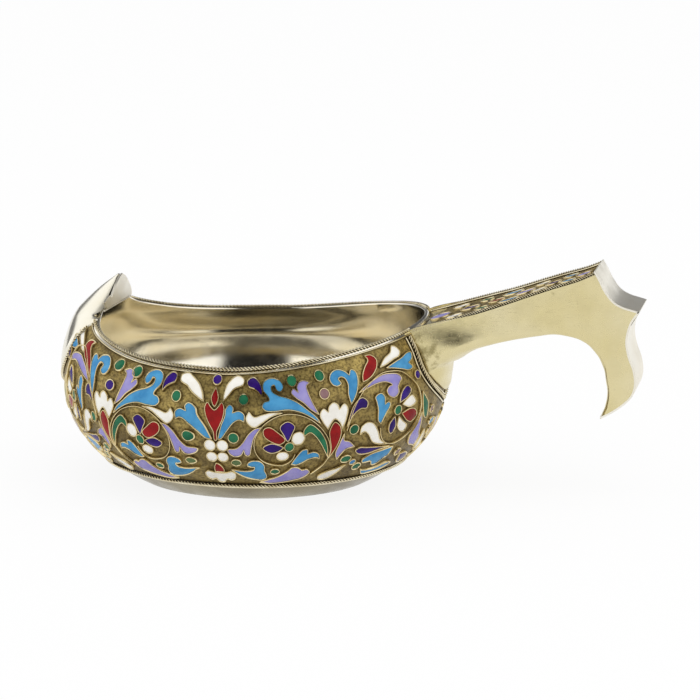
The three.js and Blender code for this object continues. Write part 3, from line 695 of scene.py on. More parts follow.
def distance_to(points: Array, line: Array) -> Array:
    """Give each point's distance to a closed flat outline."""
    start, along = line, np.roll(line, -1, axis=0) - line
    away = points[:, None] - start[None]
    share = np.clip((away * along).sum(2) / np.maximum((along**2).sum(1), 1e-12), 0, 1)
    return np.linalg.norm(away - share[..., None] * along, axis=2).min(1)


def inside(points: Array, line: Array) -> Array:
    """Say which points lie inside a closed flat outline."""
    x, y = points[:, 0:1], points[:, 1:2]
    start, finish = line, np.roll(line, -1, axis=0)
    crosses = (start[:, 1] > y) != (finish[:, 1] > y)
    rise = np.where(np.abs(finish[:, 1] - start[:, 1]) < 1e-12, 1e-12, finish[:, 1] - start[:, 1])
    at = start[:, 0] + (y - start[:, 1]) * (finish[:, 0] - start[:, 0]) / rise
    return (np.sum(crosses & (x < at), axis=1) % 2) == 1


def add_cell(stock: MeshStock, line: Array, place: Place, floor: float, dome: float) -> None:
    """Add an enamel fill with a domed top inside an outline.

    Args:
        stock: The piece it goes to.
        line: The outline in squares.
        place: Where a square lies on the kovsh.
        floor: The fill's offset at its edge.
        dome: How much higher it stands in the middle.
    """
    low, high = line.min(0), line.max(0)
    pitch, least_gap_share, dome_reach = 0.55, 0.45, 0.45
    across, up = (np.arange(low[k], high[k], pitch) for k in range(2))
    grid = np.stack(np.meshgrid(across, up), -1).reshape(-1, 2)
    grid = grid[inside(grid, line)]
    if len(grid):
        grid = grid[distance_to(grid, line) > pitch * least_gap_share]
    seeds = [Vector(p) for p in np.concatenate([line, grid])]
    ring = [list(range(len(line)))]
    only_inside, tolerance = 1, 1e-5
    found = delaunay_2d_cdt(seeds, [], ring, only_inside, tolerance)
    flat = np.array([tuple(p) for p in found[0]])
    depth = distance_to(flat, line)
    offset = floor + dome * (1 - np.exp(-depth / dome_reach))
    stock.add(place(flat[:, 0], flat[:, 1], offset), found[2])


def frames_along(path: Array, ups: Array, closed: bool) -> tuple[Array, Array]:
    """Give the outward and sideways unit vectors at each point of a path.

    Args:
        path: The path's points.
        ups: The direction away from what carries the wire, at each point.
        closed: True where the path meets its own start.

    Returns:
        The outward and the sideways vectors.
    """
    if closed:
        along = np.roll(path, -1, axis=0) - np.roll(path, 1, axis=0)
    else:
        along = np.gradient(path, axis=0)
    along /= np.linalg.norm(along, axis=1, keepdims=True)
    side = np.cross(along, ups)
    side /= np.linalg.norm(side, axis=1, keepdims=True)
    return np.cross(side, along), side


def tube_rings(path: Array, out: Array, side: Array, radius: float, sides: int) -> Array:
    """Give the rings of a round wire along a path."""
    turn = np.arange(sides) * 2 * math.pi / sides
    return (
        path[:, None]
        + radius * np.cos(turn)[None, :, None] * out[:, None]
        + radius * np.sin(turn)[None, :, None] * side[:, None]
    )


@dataclass(frozen=True)
class Rope:
    """Two fine wires twisted together and laid on the kovsh."""

    diameter: float = 0.66
    pitch: float = 1.0
    steps: int = 12
    sides: int = 6
    fullness: float = 1.04

    def add_to(self, stock: MeshStock, path: Array, ups: Array, closed: bool = False) -> None:
        """Add the rope along a path.

        Args:
            stock: The piece it goes to.
            path: The rope's middle line.
            ups: The direction away from what carries it.
            closed: True where the path meets its own start.
        """
        joined = np.concatenate([path, ups], 1)
        if closed:
            joined = np.concatenate([joined, joined[:1]])
        lengths = length_along(joined[:, :3])
        turns = round(lengths[-1] / self.pitch) if closed else lengths[-1] / self.pitch
        count = max(4, math.ceil(turns * self.steps))
        places = np.linspace(0, lengths[-1], count + 1)
        even = np.stack([np.interp(places, lengths, joined[:, k]) for k in range(6)], 1)
        if closed:
            even, places = even[:-1], places[:-1]
        out, side = frames_along(even[:, :3], even[:, 3:], closed)
        strand = self.diameter / 4
        for start in (0, math.pi):
            angle = (start + 2 * math.pi * turns * places / lengths[-1])[:, None]
            middle = even[:, :3] + strand * (np.cos(angle) * out + np.sin(angle) * side)
            rings = tube_rings(middle, out, side, strand * self.fullness, self.sides)
            stock.add_rings(rings, joined=closed)


@dataclass(frozen=True)
class RoundWire:
    """A plain drawn wire."""

    diameter: float = 0.42
    sides: int = 8

    def add_to(self, stock: MeshStock, path: Array, ups: Array, closed: bool = False) -> None:
        """Add the wire along a path.

        Args:
            stock: The piece it goes to.
            path: The wire's middle line.
            ups: The direction away from what carries it.
            closed: True where the path meets its own start.
        """
        out, side = frames_along(path, ups, closed)
        stock.add_rings(tube_rings(path, out, side, self.diameter / 2, self.sides), joined=closed)


def lay(
    node: str, laid: Rope | RoundWire, path: Array, ups: Array, material: Material, closed: bool = False
) -> None:
    """Lay a rope or a wire as a piece of its own.

    Args:
        node: The CAD node that it stands for.
        laid: The rope or the wire.
        path: Its middle line.
        ups: The direction away from what carries it.
        material: Its finish.
        closed: True where the path meets its own start.
    """
    stock = MeshStock()
    laid.add_to(stock, path, ups, closed)
    stock.piece(f"{node}_laid", [material], "wire_metal", [node], crease=80)


# The bowl's form


@dataclass(frozen=True)
class BowlForm:
    """The outer skin of the bowl as a formula, the same as in the CAD."""

    half_length: float = 41.15
    half_width: float = 38.5
    belly: float = 22.5
    rim: float = 29.8
    prow_rise: float = 8.0
    prow_flat: float = 6.8
    prow_curve: float = 3.85
    handle_rise: float = 5.8
    handle_curve: float = 1.48
    prow_setback: float = 8.6
    press_share: float = 0.95
    press_curve: float = 1.5
    press_edge: float = 20.0
    closing: float = 1.255
    belly_curve: float = 2.13
    belly_root: float = 1.91
    drawn_in: float = 0.097
    narrow: float = 0.049
    skew: float = 0.131

    def rim_at(self, angle: Array) -> Array:
        """Give the rim's height at an angle."""
        along = np.cos(angle)
        prow = np.minimum(self.prow_rise * np.maximum(0, -along) ** self.prow_curve, self.prow_flat)
        return self.rim + prow + self.handle_rise * np.maximum(0, along) ** self.handle_curve

    def girth_at(self, height: Array, rim: Array) -> Array:
        """Give the share of the belly's girth at a height."""
        drop = np.maximum(0, self.belly - height) / (self.belly * self.closing)
        low = (1 - drop**self.belly_curve) ** (1 / self.belly_root)
        high = 1 - self.drawn_in * (np.maximum(0, height - self.belly) / (rim - self.belly)) ** 2
        return np.where(height < self.belly, low, high)

    def width_at(self, angle: Array, height: Array) -> Array:
        """Give the half width: above the belly it is drawn in more, and most towards the prow."""
        rim = self.rim_at(angle)
        lean = (np.maximum(0, height - self.belly) / (rim - self.belly)) ** 2
        swell = 1 + lean * (self.skew * np.cos(angle) - self.narrow)
        return self.half_width * self.girth_at(height, rim) * swell

    def skin(self, angle: Array, height: Array, flattened: bool = True) -> Array:
        """Give the skin's points.

        Args:
            angle: The angle round the bowl, from the handle.
            height: The height over the base.
            flattened: True with the flat press of the prow.

        Returns:
            The points, with the coordinates last.
        """
        angle, height = np.broadcast_arrays(np.asarray(angle, float), np.asarray(height, float))
        rim = self.rim_at(angle)
        x = self.half_length * self.girth_at(height, rim) * np.cos(angle)
        y = self.width_at(angle, height) * np.sin(angle)
        if flattened:
            drop = np.maximum(0, rim - height) / (rim - self.belly)
            freed = self.half_length * self.press_share * drop**self.press_curve
            limit = self.half_length - self.prow_setback + freed
            reach = np.maximum(-x / limit, 1e-6)
            pressed = -limit * (reach**-self.press_edge + 1) ** (-1 / self.press_edge)
            x = np.where(x < -1, pressed, x)
        return np.stack([x, y, height], -1)

    def normal(self, angle: Array, height: Array, flattened: bool = True) -> Array:
        """Give the skin's outward unit normals."""
        step = 1e-3
        across = self.skin(angle + step, height, flattened) - self.skin(angle - step, height, flattened)
        rise = self.skin(angle, height + step * 20, flattened)
        upward = rise - self.skin(angle, height - step * 20, flattened)
        found = np.cross(across, upward)
        return found / np.linalg.norm(found, axis=-1, keepdims=True)

    def point(
        self, angle: Array, height: Array, offset: Array | float, flattened: bool = True
    ) -> Array:
        """Give points at an offset out of the skin."""
        away = np.asarray(offset, float)[..., None]
        return self.skin(angle, height, flattened) + self.normal(angle, height, flattened) * away

    def angle_where(self, side: Array, end: End, height_at: Callable[[Array], Array]) -> Array:
        """Find the angles of points a given way to the side of the long axis.

        Args:
            side: How far to the side they are.
            end: The end at which they lie.
            height_at: Their heights at given angles.

        Returns:
            The angles.
        """
        side = np.asarray(side, float)
        angle = np.full(side.shape, 0.0 if end is End.HANDLE else math.pi)
        for _ in range(12):
            turn = np.arcsin(np.clip(side / self.width_at(angle, height_at(angle)), -1, 1))
            angle = turn if end is End.HANDLE else math.pi - turn
        return angle

    def angle_at_side(self, side: Array, height: Array, end: End) -> Array:
        """Give the angle of a point a given way to the side at a height."""
        return self.angle_where(side, end, lambda angle: np.asarray(height, float) + 0 * angle)

    def rim_angle(self, side: float, end: End) -> float:
        """Give the angle of the rim's point a given way to the side at one end."""
        return float(self.angle_where(np.array(side), end, self.rim_at))

    def rim_at_side(self, side: float, end: End) -> float:
        """Give the rim's height a given way to the side at one end."""
        return float(self.rim_at(np.array(self.rim_angle(side, end))))

    def angle_at_arc(self, arc: Array) -> Array:
        """Give the angle at a length along the belly from the middle of the near side."""
        angles = np.linspace(0, QUARTER, 721)
        middles = (angles[1:] + angles[:-1]) / 2
        slopes = np.hypot(self.half_length * np.cos(middles), self.half_width * np.sin(middles))
        lengths = np.concatenate([[0], np.cumsum(slopes * QUARTER / 720)])
        inner = np.interp(np.abs(arc), lengths, angles)
        beyond = np.maximum(0, np.abs(arc) - lengths[-1]) / self.half_width
        return -QUARTER + np.sign(arc) * (inner + beyond)

    def pushed_out(self, points: Array, sunk: float = 0.2) -> Array:
        """Move the points near the handle that lie inside the bowl out to its skin.

        Args:
            points: The points.
            sunk: How far under the skin they may stay.

        Returns:
            The points, none of them inside the bowl's wall.
        """
        moved = points.copy()
        level = moved[..., 2]
        angle = self.angle_where(moved[..., 1], End.HANDLE, lambda a: np.minimum(level, self.rim_at(a)))
        rim = self.rim_at(angle)
        least = self.half_length * self.girth_at(np.minimum(level, rim), rim) * np.cos(angle) - sunk
        moved[..., 0] = np.maximum(moved[..., 0], least)
        return moved


FORM = BowlForm()


class BowlFinish(Enum):
    """A finish of the bowl, with its place among the piece's materials."""

    FOOT = 0
    MATTED = 1
    POLISHED = 2


class Zone(Enum):
    """A zone of the bowl's sheet, from the base up the outside and down the inside."""

    BASE = auto()
    FOOT = auto()
    BAND = auto()
    LIP = auto()
    INSIDE = auto()
    FLOOR = auto()


@dataclass(frozen=True)
class Bowl:
    """The raised bowl: matted band outside, polished foot, lip and inside."""

    wall: float = 1.1
    lip_width: float = 1.1
    lip_round: float = 0.3
    lip_depth: float = 0.9
    turn_share: float = 0.35
    floor: float = 1.3
    floor_edge: float = 5.2
    floor_curve: float = 7.5
    band_low: float = 4.0
    band_drop: float = 0.9
    around: int = 320

    def profile(self) -> list[tuple[Zone, float, BowlFinish]]:
        """List the rows from the base's middle, up the outside and down the inside.

        Returns:
            For each row its zone, its share or height in that zone, and its finish.
        """
        zones = (
            (Zone.BASE, BowlFinish.FOOT, (0, 0.55, 0.9, 0.985)),
            (Zone.FOOT, BowlFinish.FOOT, np.linspace(0.25, self.band_low, 7)),
            (Zone.BAND, BowlFinish.MATTED, np.linspace(0, 1, 34)),
            (Zone.LIP, BowlFinish.POLISHED, np.linspace(0, 1, 9)),
            (Zone.INSIDE, BowlFinish.POLISHED, np.linspace(0.985, 0, 40)),
            (Zone.FLOOR, BowlFinish.POLISHED, (0.97, 0.93, 0.88, 0.8, 0.7, 0.55, 0.35, 0.1)),
        )
        return [(zone, value, finish) for zone, finish, values in zones for value in values]

    def row(self, zone: Zone, value: float, angle: Array) -> Array:
        """Give one row of points.

        Args:
            zone: The zone it lies in.
            value: Its height on the foot, and its share of any other zone.
            angle: The angles round the bowl.

        Returns:
            The row's points.
        """
        rim = FORM.rim_at(angle)
        if zone is Zone.BASE:
            return FORM.skin(angle, np.full_like(angle, 0.0)) * [value, value, 0]
        if zone is Zone.FOOT:
            return FORM.point(angle, np.full_like(angle, value), 0.0)
        if zone is Zone.BAND:
            top = rim - self.band_drop
            return FORM.point(angle, self.band_low + (top - self.band_low) * value, 0.0)
        if zone is Zone.LIP:
            return self.lip(value, angle, rim)
        if zone is Zone.INSIDE:
            edge = rim - self.lip_round - self.lip_depth
            height = self.floor_edge + (edge - self.floor_edge) * value
            return FORM.point(angle, height, -self.wall)
        start = FORM.point(angle, np.full_like(angle, self.floor_edge), -self.wall)
        height = self.floor + (start[:, 2] - self.floor) * value**self.floor_curve
        return np.stack([start[:, 0] * value, start[:, 1] * value, height], 1)

    def lip(self, value: float, angle: Array, rim: Array) -> Array:
        """Give a row on the rounded lip, from the outside over the top to the inside."""
        radius, flat_share = self.lip_round, 1 - 2 * self.turn_share
        if value <= self.turn_share:
            turn = QUARTER * value / self.turn_share
            offset = -radius * (1 - math.cos(turn))
            height = rim - radius * (1 - math.sin(turn))
        elif value <= self.turn_share + flat_share:
            share = (value - self.turn_share) / flat_share
            offset = -radius - (self.lip_width - 2 * radius) * share
            height = rim
        else:
            turn = QUARTER * (value - self.turn_share - flat_share) / self.turn_share
            offset = -self.lip_width + radius - radius * math.sin(turn)
            height = rim - radius * (1 - math.cos(turn))
        inner = FORM.point(angle, rim, np.full_like(angle, offset))
        inner[:, 2] = height
        return inner

    def build(self) -> None:
        """Build the bowl."""
        angle = np.arange(self.around) * 2 * math.pi / self.around
        rows = self.profile()
        rings = np.stack([self.row(zone, value, angle) for zone, value, _ in rows])
        stock = MeshStock()
        stock.add_rings(rings, finishes=[finish.value for _, _, finish in rows[1:]])
        finishes = [SHADED_FOOT_GILT.material(), GROUND.material(), INNER_GILT.material()]
        stock.piece("bowl_shell", finishes, "bowl_metal", ["bowl"])


# The border wires


@dataclass(frozen=True)
class Shield:
    """The outline in which the prow or the handle meets the bowl."""

    end: End
    width: float
    shoulder: float
    bottom: float
    curve: float = 2.2

    def half_at(self, height: Array, away: float = 0) -> Array:
        """Give half the shield's width at a height, grown by a distance."""
        depth = self.shoulder - self.bottom + away
        drop = np.clip((self.shoulder - height) / depth, 0, 1)
        return (self.width / 2 + away) * (1 - drop**self.curve)

    def outline(self, away: float, top: float) -> Array:
        """Trace the shield's outline at a distance outside it.

        Args:
            away: The distance.
            top: The height at which its two ends stop.

        Returns:
            The sides and heights, from one end round the bottom to the other.
        """
        depth = self.shoulder - self.bottom + away
        share = np.sin(np.linspace(0, QUARTER, 40))
        heights = self.shoulder - depth * share
        half = np.stack([(self.width / 2 + away) * (1 - share**self.curve), heights], 1)
        half = np.concatenate([[[self.width / 2 + away, top]], half])
        mirrored = half[:-1] * [-1, 1]
        return np.concatenate([mirrored, half[::-1]])


PROW_SHIELD = Shield(End.PROW, 27.4, 29.5, 19.4)
ROOT_SHIELD = Shield(End.HANDLE, 23.2, 29.4, 19.8)


@dataclass(frozen=True)
class Borders:
    """The drawn and twisted wires that frame the enamel band and the two shields."""

    rim_rope: Rope = Rope(0.86, 1.6)
    border_rope: Rope = Rope(0.78, 1.5)
    plain: RoundWire = RoundWire(0.36)
    rim_drop: float = 0.02
    rim_gap: float = 0.78
    rope_proud: float = 0.18
    wire_proud: float = 0.12
    rim_start: float = 11.4
    root_gap: float = 0.2
    foot_rope_height: float = 4.9
    foot_wire_height: float = 4.25
    foot_seat_share: float = 0.4
    shield_seat_share: float = 0.42
    below_rim: float = 1.1

    def rim(self, side: Side, material: Material) -> None:
        """Lay the rope and the plain wire under the lip on one side."""
        start = FORM.rim_angle(self.rim_start, End.PROW)
        finish = FORM.rim_angle(ROOT_SHIELD.width / 2 + self.root_gap, End.HANDLE)
        angle = np.linspace(start, finish, 220)
        for label, laid, drop, proud in (
            ("rope", self.rim_rope, self.rim_drop, self.rope_proud),
            ("wire", self.plain, self.rim_drop + self.rim_gap, self.wire_proud),
        ):
            height = FORM.rim_at(angle) - drop
            path = FORM.point(angle, height, proud) * [1, -side.value, 1]
            ups = FORM.normal(angle, height) * [1, -side.value, 1]
            lay(f"rim_{label}_{side.name.lower()}", laid, path, ups, material)

    def foot(self, material: Material) -> None:
        """Lay the rope and the plain wire round the foot."""
        angle = np.arange(400) * 2 * math.pi / 400
        for name, laid, height in (
            ("foot_rope", self.border_rope, self.foot_rope_height),
            ("foot_wire", self.plain, self.foot_wire_height),
        ):
            seat = laid.diameter * self.foot_seat_share
            path = FORM.point(angle, np.full_like(angle, height), seat)
            ups = FORM.normal(angle, np.full_like(angle, height))
            lay(name, laid, path, ups, material, closed=True)

    def shield(
        self, shield: Shield, wires: Sequence[tuple[str, float, Rope | RoundWire]], material: Material
    ) -> None:
        """Lay wires round a shield.

        Args:
            shield: The shield they follow.
            wires: For each its CAD node, its distance and its kind.
            material: Their finish.
        """
        for name, away, laid in wires:
            widest = shield.width / 2 + away
            top = FORM.rim_at_side(widest, shield.end) - self.below_rim
            outline = evenly(shield.outline(away, top), 0.5)
            angle = FORM.angle_at_side(outline[:, 0], outline[:, 1], shield.end)
            seat = laid.diameter * self.shield_seat_share
            path = FORM.point(angle, outline[:, 1], seat, flattened=False)
            ups = FORM.normal(angle, outline[:, 1], flattened=False)
            lay(name, laid, path, ups, material)

    def build(self) -> None:
        """Lay all the border wires."""
        material = WIRE_GILT.material()
        for side in Side:
            self.rim(side, material)
        self.foot(material)
        root = (
            ("root_wire_inner", 0.7, self.plain),
            ("root_rope", 1.5, self.border_rope),
            ("root_wire_outer", 2.4, self.plain),
        )
        self.shield(ROOT_SHIELD, root, material)
        prow = (("prow_wire", 0.6, self.plain), ("prow_rope", 1.3, self.border_rope))
        self.shield(PROW_SHIELD, prow, material)


# The prow


@dataclass(frozen=True)
class Prow:
    """The hollow beak: a raised sheet outside the wall, closed by a flat plate with one ear."""

    sheet: float = 0.6
    rim_top: float = 36.6
    rise: float = 5.9
    overhang: float = 2.65
    lean: float = 11.25
    tip_x: float = 29.9
    corner_drop: float = 1.35
    foot_gap: float = 0.15
    proud: float = 0.24
    sunk: float = 0.1
    edge_curve: float = 14
    free_from: float = 29
    free_span: float = 5
    free_curve: float = 8
    bulge_curve: float = 0.72
    least_share: float = 0.3
    columns: int = 56
    even_share: float = 0.65
    planishing: int = 40
    upper_shares: tuple[tuple[float, float, float, float], ...] = (
        (-0.15, 0.9, 0.92, 0.73),
        (0.01, 0.785, 0.36, 0.655),
        (0.27, 0.6, 0.28, 0.53),
        (0.53, 0.41, 0.21, 0.378),
        (0.78, 0.21, 0.11, 0.2),
        (0.93, 0.083, 0.04, 0.07),
        (1, 0.035, 0, 0.035),
    )
    plate_points: tuple[Control, ...] = (
        (-10.5, 0, 1), (-13.1, 1.7, 1), (-11.6, 2.3), (-9.6, 2.7), (-7.6, 2, 1), (-6.2, 3.2),
        (-4.3, 4.6), (-1.7, 5.8), (0, 6.2, 1), (2.6, 5.4), (6, 3.7), (9.2, 1.6), (10.5, 0, 1),
    )
    plate_gap: float = 0.4
    plate_drop: float = 0.15
    plate_thick: float = 0.5
    plate_tilt: float = 0.115
    plate_slope: float = 0.045
    bead: RoundWire = RoundWire(0.42)
    bead_span: Span = (-11, 10.6)
    bead_gap: float = 0.5
    bead_drop: float = 0.6

    def across(self) -> Array:
        """Give the shares across the beak, closer together near its edges."""
        crowded = np.cos(np.linspace(0, math.pi, self.columns + 1))
        even = np.linspace(1, -1, self.columns + 1)
        return crowded * (1 - self.even_share) + self.even_share * even

    def lower_row(self, height: float, outer: bool) -> Array:
        """Give a row of the part that lies on the bowl, its edges turned down to the skin."""
        across = self.across()
        half = float(PROW_SHIELD.half_at(np.array(height)))
        angle = FORM.angle_at_side(half * across, np.full_like(across, height), End.PROW)
        offset = np.full_like(across, -self.sunk)
        if outer:
            offset = (self.sheet + self.proud) * np.sqrt(1 - np.abs(across) ** self.edge_curve)
        raised = FORM.point(angle, np.full_like(across, height), offset, flattened=False)
        laid = FORM.point(angle, np.full_like(across, height), offset)
        freed = np.clip((height - self.free_from) / self.free_span, 0, 1)
        share = (np.abs(across) ** self.free_curve * freed)[:, None]
        return raised + (laid - raised) * share

    def upper_row(self, share: tuple[float, float, float, float], outer: bool) -> Array:
        """Give a row of the part that rises over the rim.

        Args:
            share: Its rise, half width, edge and keel.
            outer: True for the outer face.

        Returns:
            The row's points.
        """
        rise, half, edge, keel = share
        across = self.across()
        half_side = PROW_SHIELD.width / 2 * half
        depth = self.lean * keel - self.overhang * edge
        deeper = 1 if outer else max(self.least_share, 1 - self.sheet / depth)
        narrower = 1 if outer else max(self.least_share, 1 - self.sheet / half_side)
        height = self.rim_top + self.rise * rise - (0 if outer else self.sheet * max(0, rise))
        bulge = np.maximum(0, 1 - across**2) ** self.bulge_curve
        x = -self.tip_x - self.overhang * edge - depth * deeper * bulge
        return np.stack([x, half_side * narrower * across, np.full_like(x, height)], 1)

    def face(self, outer: bool) -> Array:
        """Give a face of the beak as a fine grid, smooth along its keel."""
        low, corner = PROW_SHIELD.bottom + self.foot_gap, self.rim_top - self.corner_drop
        shares = [0, 0.02, 0.06, 0.12, *np.linspace(0.2, 1, 9)]
        rows = [self.lower_row(low + (corner - low) * share, outer) for share in shares]
        rows += [self.upper_row(row, outer) for row in self.upper_shares]
        flat = np.stack(rows).reshape(len(rows), -1)
        scale = math.sqrt(self.columns)
        spans = (flowing(flat / scale, False, 4) * scale).reshape(-1, self.columns + 1, 3)
        share = (1 - np.abs(self.across()) ** self.free_curve)[None, :, None]
        for _ in range(self.planishing):
            spans[1:-1] += ((spans[:-2] + spans[2:]) / 2 - spans[1:-1]) * share / 2
        return spans

    def build(self) -> None:
        """Build the beak and its back plate."""
        outer, inner = self.face(True), self.face(False)
        stock = MeshStock()
        stock.add_rings(np.concatenate([outer, inner[:, ::-1]], 1))
        material = PALE_GILT.material()
        shell = stock.piece("prow_beak", [material], "prow_metal", ["prow_shell"], crease=50)
        bevelled(shell, 0.18, 2, 50)
        self.back_plate(PLATE_GILT.material())

    def back_plate(self, material: Material) -> None:
        """Build the flat plate that closes the beak, a little askew, with a bead along its foot."""
        outline = outline_through(self.plate_points)
        y, rise = outline[:, 0], outline[:, 1]
        x = -self.tip_x - self.plate_gap + self.plate_tilt * rise
        z = self.rim_top - self.plate_drop + rise - self.plate_slope * y
        plate = MeshStock()
        plate.add_rings(np.stack([np.stack([x + depth, y, z], 1) for depth in (0, self.plate_thick)]))
        side = np.linspace(*self.bead_span, 40)
        level = self.rim_top - self.bead_drop - self.plate_slope * side
        path = np.stack([np.full_like(side, -self.tip_x - self.bead_gap), side, level], 1)
        self.bead.add_to(plate, path, np.tile([1.0, 0, 0], (len(path), 1)))
        made = plate.piece("prow_plate", [material], "prow_metal", ["prow_back_plate"], crease=30)
        bevelled(made, 0.1, 2, 40)


# The handle


@dataclass(frozen=True)
class Station:
    """A section of the handle: its low and high points, half width, corner and rounding."""

    low: Array
    high: Array
    half: float
    corner: float
    round: float


@dataclass(frozen=True)
class Handle:
    """The flared hook handle: folded body, end strip, top plate and edge wires.

    A row of shares gives a section's low point along and up, and for the grip and the hook its
    high point too. The grip's rows end with the width, the corner and its rounding.
    """

    reach: float = 42.1
    rise: float = 25.7
    foot: float = 22.4
    end_width: float = 14
    plate: float = 1.0
    cover: float = 1.75
    cheek_top: float = 0.55
    cheek_lift: float = 1.0
    plate_sunk: float = 0.75
    strip_seen: float = 0.4
    tongue_depth: float = 8
    tongue_corner_share: float = 0.97
    grip_corner: float = 11.6
    hook_corner: float = 1.6
    hook_round: float = 1.3
    horn_gap: float = 0.12
    plate_start_share: float = 0.16
    wire_end_share: float = 0.985
    rope: Rope = Rope(0.72, 1.05)
    plain: RoundWire = RoundWire(0.4)
    rope_inset: float = 0.36
    wire_inset: float = 0.95
    tongue_shares: tuple[Span, ...] = (
        (0.017, -0.078),
        (0.029, -0.03),
        (0.034, 0.055),
        (0.048, 0.17),
    )
    grip_shares: tuple[tuple[float, ...], ...] = (
        (0.1, 0.21, -0.14, 0.3, 1, 0.87, 0.22),
        (0.165, 0.298, -0.176, 0.472, 1, 0.5, 0.16),
        (0.253, 0.362, 0.19, 0.662, 0.68, 0.2, 0.09),
        (0.364, 0.408, 0.33, 0.736, 0.43, 0.14, 0.06),
        (0.496, 0.447, 0.46, 0.813, 0.29, 0.13, 0.055),
        (0.583, 0.463, 0.57, 0.876, 0.2, 0.13, 0.055),
        (0.689, 0.43, 0.7, 0.946, 0.09, 0.13, 0.055),
    )
    hook_shares: tuple[tuple[float, float, float, float], ...] = (
        (0.733, 0.391, 0.776, 1), (0.752, 0.367, 0.798, 0.94), (0.771, 0.333, 0.829, 0.841),
        (0.788, 0.299, 0.87, 0.757), (0.798, 0.276, 0.913, 0.717), (0.81, 0.235, 0.964, 0.693),
        (0.819, 0.2, 1, 0.677), (0.826, 0.166, 0.959, 0.573), (0.834, 0.084, 0.94, 0.434),
        (0.841, 0.014, 0.952, 0.31), (0.84, -0.048, 0.978, 0.191), (0.834, -0.1, 0.986, 0.07),
        (0.827, -0.142, 0.971, -0.02), (0.818, -0.178, 0.93, -0.096),
        (0.812, -0.204, 0.87, -0.169), (0.808, -0.222, 0.815, -0.218),
    )
    horn: int = 6

    def at(self, along: float, up: float) -> Array:
        """Give a point of the handle's middle plane from its shares."""
        return np.array([FORM.half_length + self.reach * along, 0, self.foot + self.rise * up])

    def half_of(self, width: float) -> float:
        """Give half the handle's width from its share of the flare."""
        return (self.end_width + (ROOT_SHIELD.width - self.end_width) * width) / 2

    def tongue(self) -> list[Station]:
        """List the level sections that lie on the bowl."""
        made = []
        for along, up in self.tongue_shares:
            low = self.at(along, up)
            half = float(ROOT_SHIELD.half_at(low[2]))
            angle = FORM.angle_at_side(np.array(half), low[2], End.HANDLE)
            skin = FORM.skin(angle, low[2], False)[0]
            high = np.array([FORM.half_length - self.tongue_depth, 0, low[2]])
            corner = half * self.tongue_corner_share
            made.append(Station(low, high, half, corner, low[0] - skin))
        return made

    def grip(self) -> list[Station]:
        """List the sections along the grip."""
        made = []
        for low_x, low_z, high_x, high_z, width, corner, turn in self.grip_shares:
            low, high = self.at(low_x, low_z), self.at(high_x, high_z)
            sizes = (self.half_of(width), corner * self.grip_corner, turn * self.rise)
            made.append(Station(low, high, *sizes))
        return made

    def hook(self) -> list[Station]:
        """List the sections that fan round to the hook's tip."""
        made = []
        sizes = (self.end_width / 2, self.hook_corner, self.hook_round)
        for low_x, low_z, high_x, high_z in self.hook_shares:
            made.append(Station(self.at(low_x, low_z), self.at(high_x, high_z), *sizes))
        return made

    def section(self, station: Station, cut: float, lift: float = 0) -> Array:
        """Give a section's ring: square above, with rounded lower corners.

        Args:
            station: The section.
            cut: How far its top is taken down for the plate or the strip.
            lift: How far its cheeks rise beside the plate.

        Returns:
            The ring's points.
        """
        upward = station.high - station.low
        height = max(0.4, float(np.linalg.norm(upward)) - cut)
        upward = upward / np.linalg.norm(upward)
        turn = np.linspace(0, QUARTER, 9)
        side = station.half - station.corner + station.corner * np.sin(turn)
        up = min(height / 2, station.round) * (1 - np.cos(turn))
        rise = up[-1] + (height - up[-1]) * np.linspace(0, 1, 6)[1:]
        inset = station.half - self.cheek_top
        side = np.concatenate([side, np.full(5, station.half), [station.half, inset, inset]])
        up = np.concatenate([up, rise, [height + lift, height + lift, height]])
        top = inset * np.linspace(1, -1, 5)[1:-1]
        sides = np.concatenate([side, top, -side[::-1]])
        ups = np.concatenate([up, np.full(3, height), up[::-1]])
        points = station.low + upward * ups[:, None]
        points[:, 1] = sides
        return points

    def end_line(self) -> Array:
        """Trace the scalloped end edge smoothly, from the plate's corner to the hook's tip."""
        highs = np.array([station.high for station in self.hook()])
        first = flowing(highs[: self.horn + 1], False, 10)
        second = flowing(highs[self.horn :], False, 10)
        line = np.concatenate([first, second[1:]])
        line[:, 0] = np.minimum(line[:, 0], FORM.half_length + self.reach - self.horn_gap)
        return line

    def body_rings(self) -> Array:
        """Give the folded body's rings, smooth between the tongue, the grip and the hook."""
        tongue = [self.section(s, 0) for s in self.tongue()]
        root, *covered = self.grip()
        corner, *ends = self.hook()
        grip = [self.section(s, self.cover, self.cheek_lift) for s in [*covered, corner]]
        hook = [grip[-1], *(self.section(s, self.strip_seen) for s in ends)]
        runs = [
            np.stack([*tongue, self.section(root, 0), *grip]),
            np.stack(hook[: self.horn + 1]),
            np.stack(hook[self.horn :]),
        ]
        made = []
        for run in runs:
            count, around = run.shape[:2]
            scale = math.sqrt(around)
            fine = flowing(run.reshape(count, -1) / scale, False, 8) * scale
            made.append(fine.reshape(-1, around, 3)[(1 if made else 0) :])
        return FORM.pushed_out(np.concatenate(made))

    def top_line(self, start: float = 0, finish: float = 1) -> tuple[Array, Array]:
        """Trace the top edge and its half width.

        Args:
            start: The share of the line at which it starts.
            finish: The share at which it ends.

        Returns:
            The points of the middle plane and the half widths.
        """
        stations = [*self.grip()[1:], self.hook()[0]]
        first = stations[0].high + (stations[1].high - stations[0].high) * self.plate_start_share
        rows = np.array([[*s.high, s.half] for s in stations])
        rows[0, :3] = first
        fine = flowing(rows, False, 10)
        lengths = length_along(fine[:, :3])
        places = np.linspace(start, finish, 120) * lengths[-1]
        even = np.stack([np.interp(places, lengths, fine[:, k]) for k in range(4)], 1)
        return even[:, :3], even[:, 3]

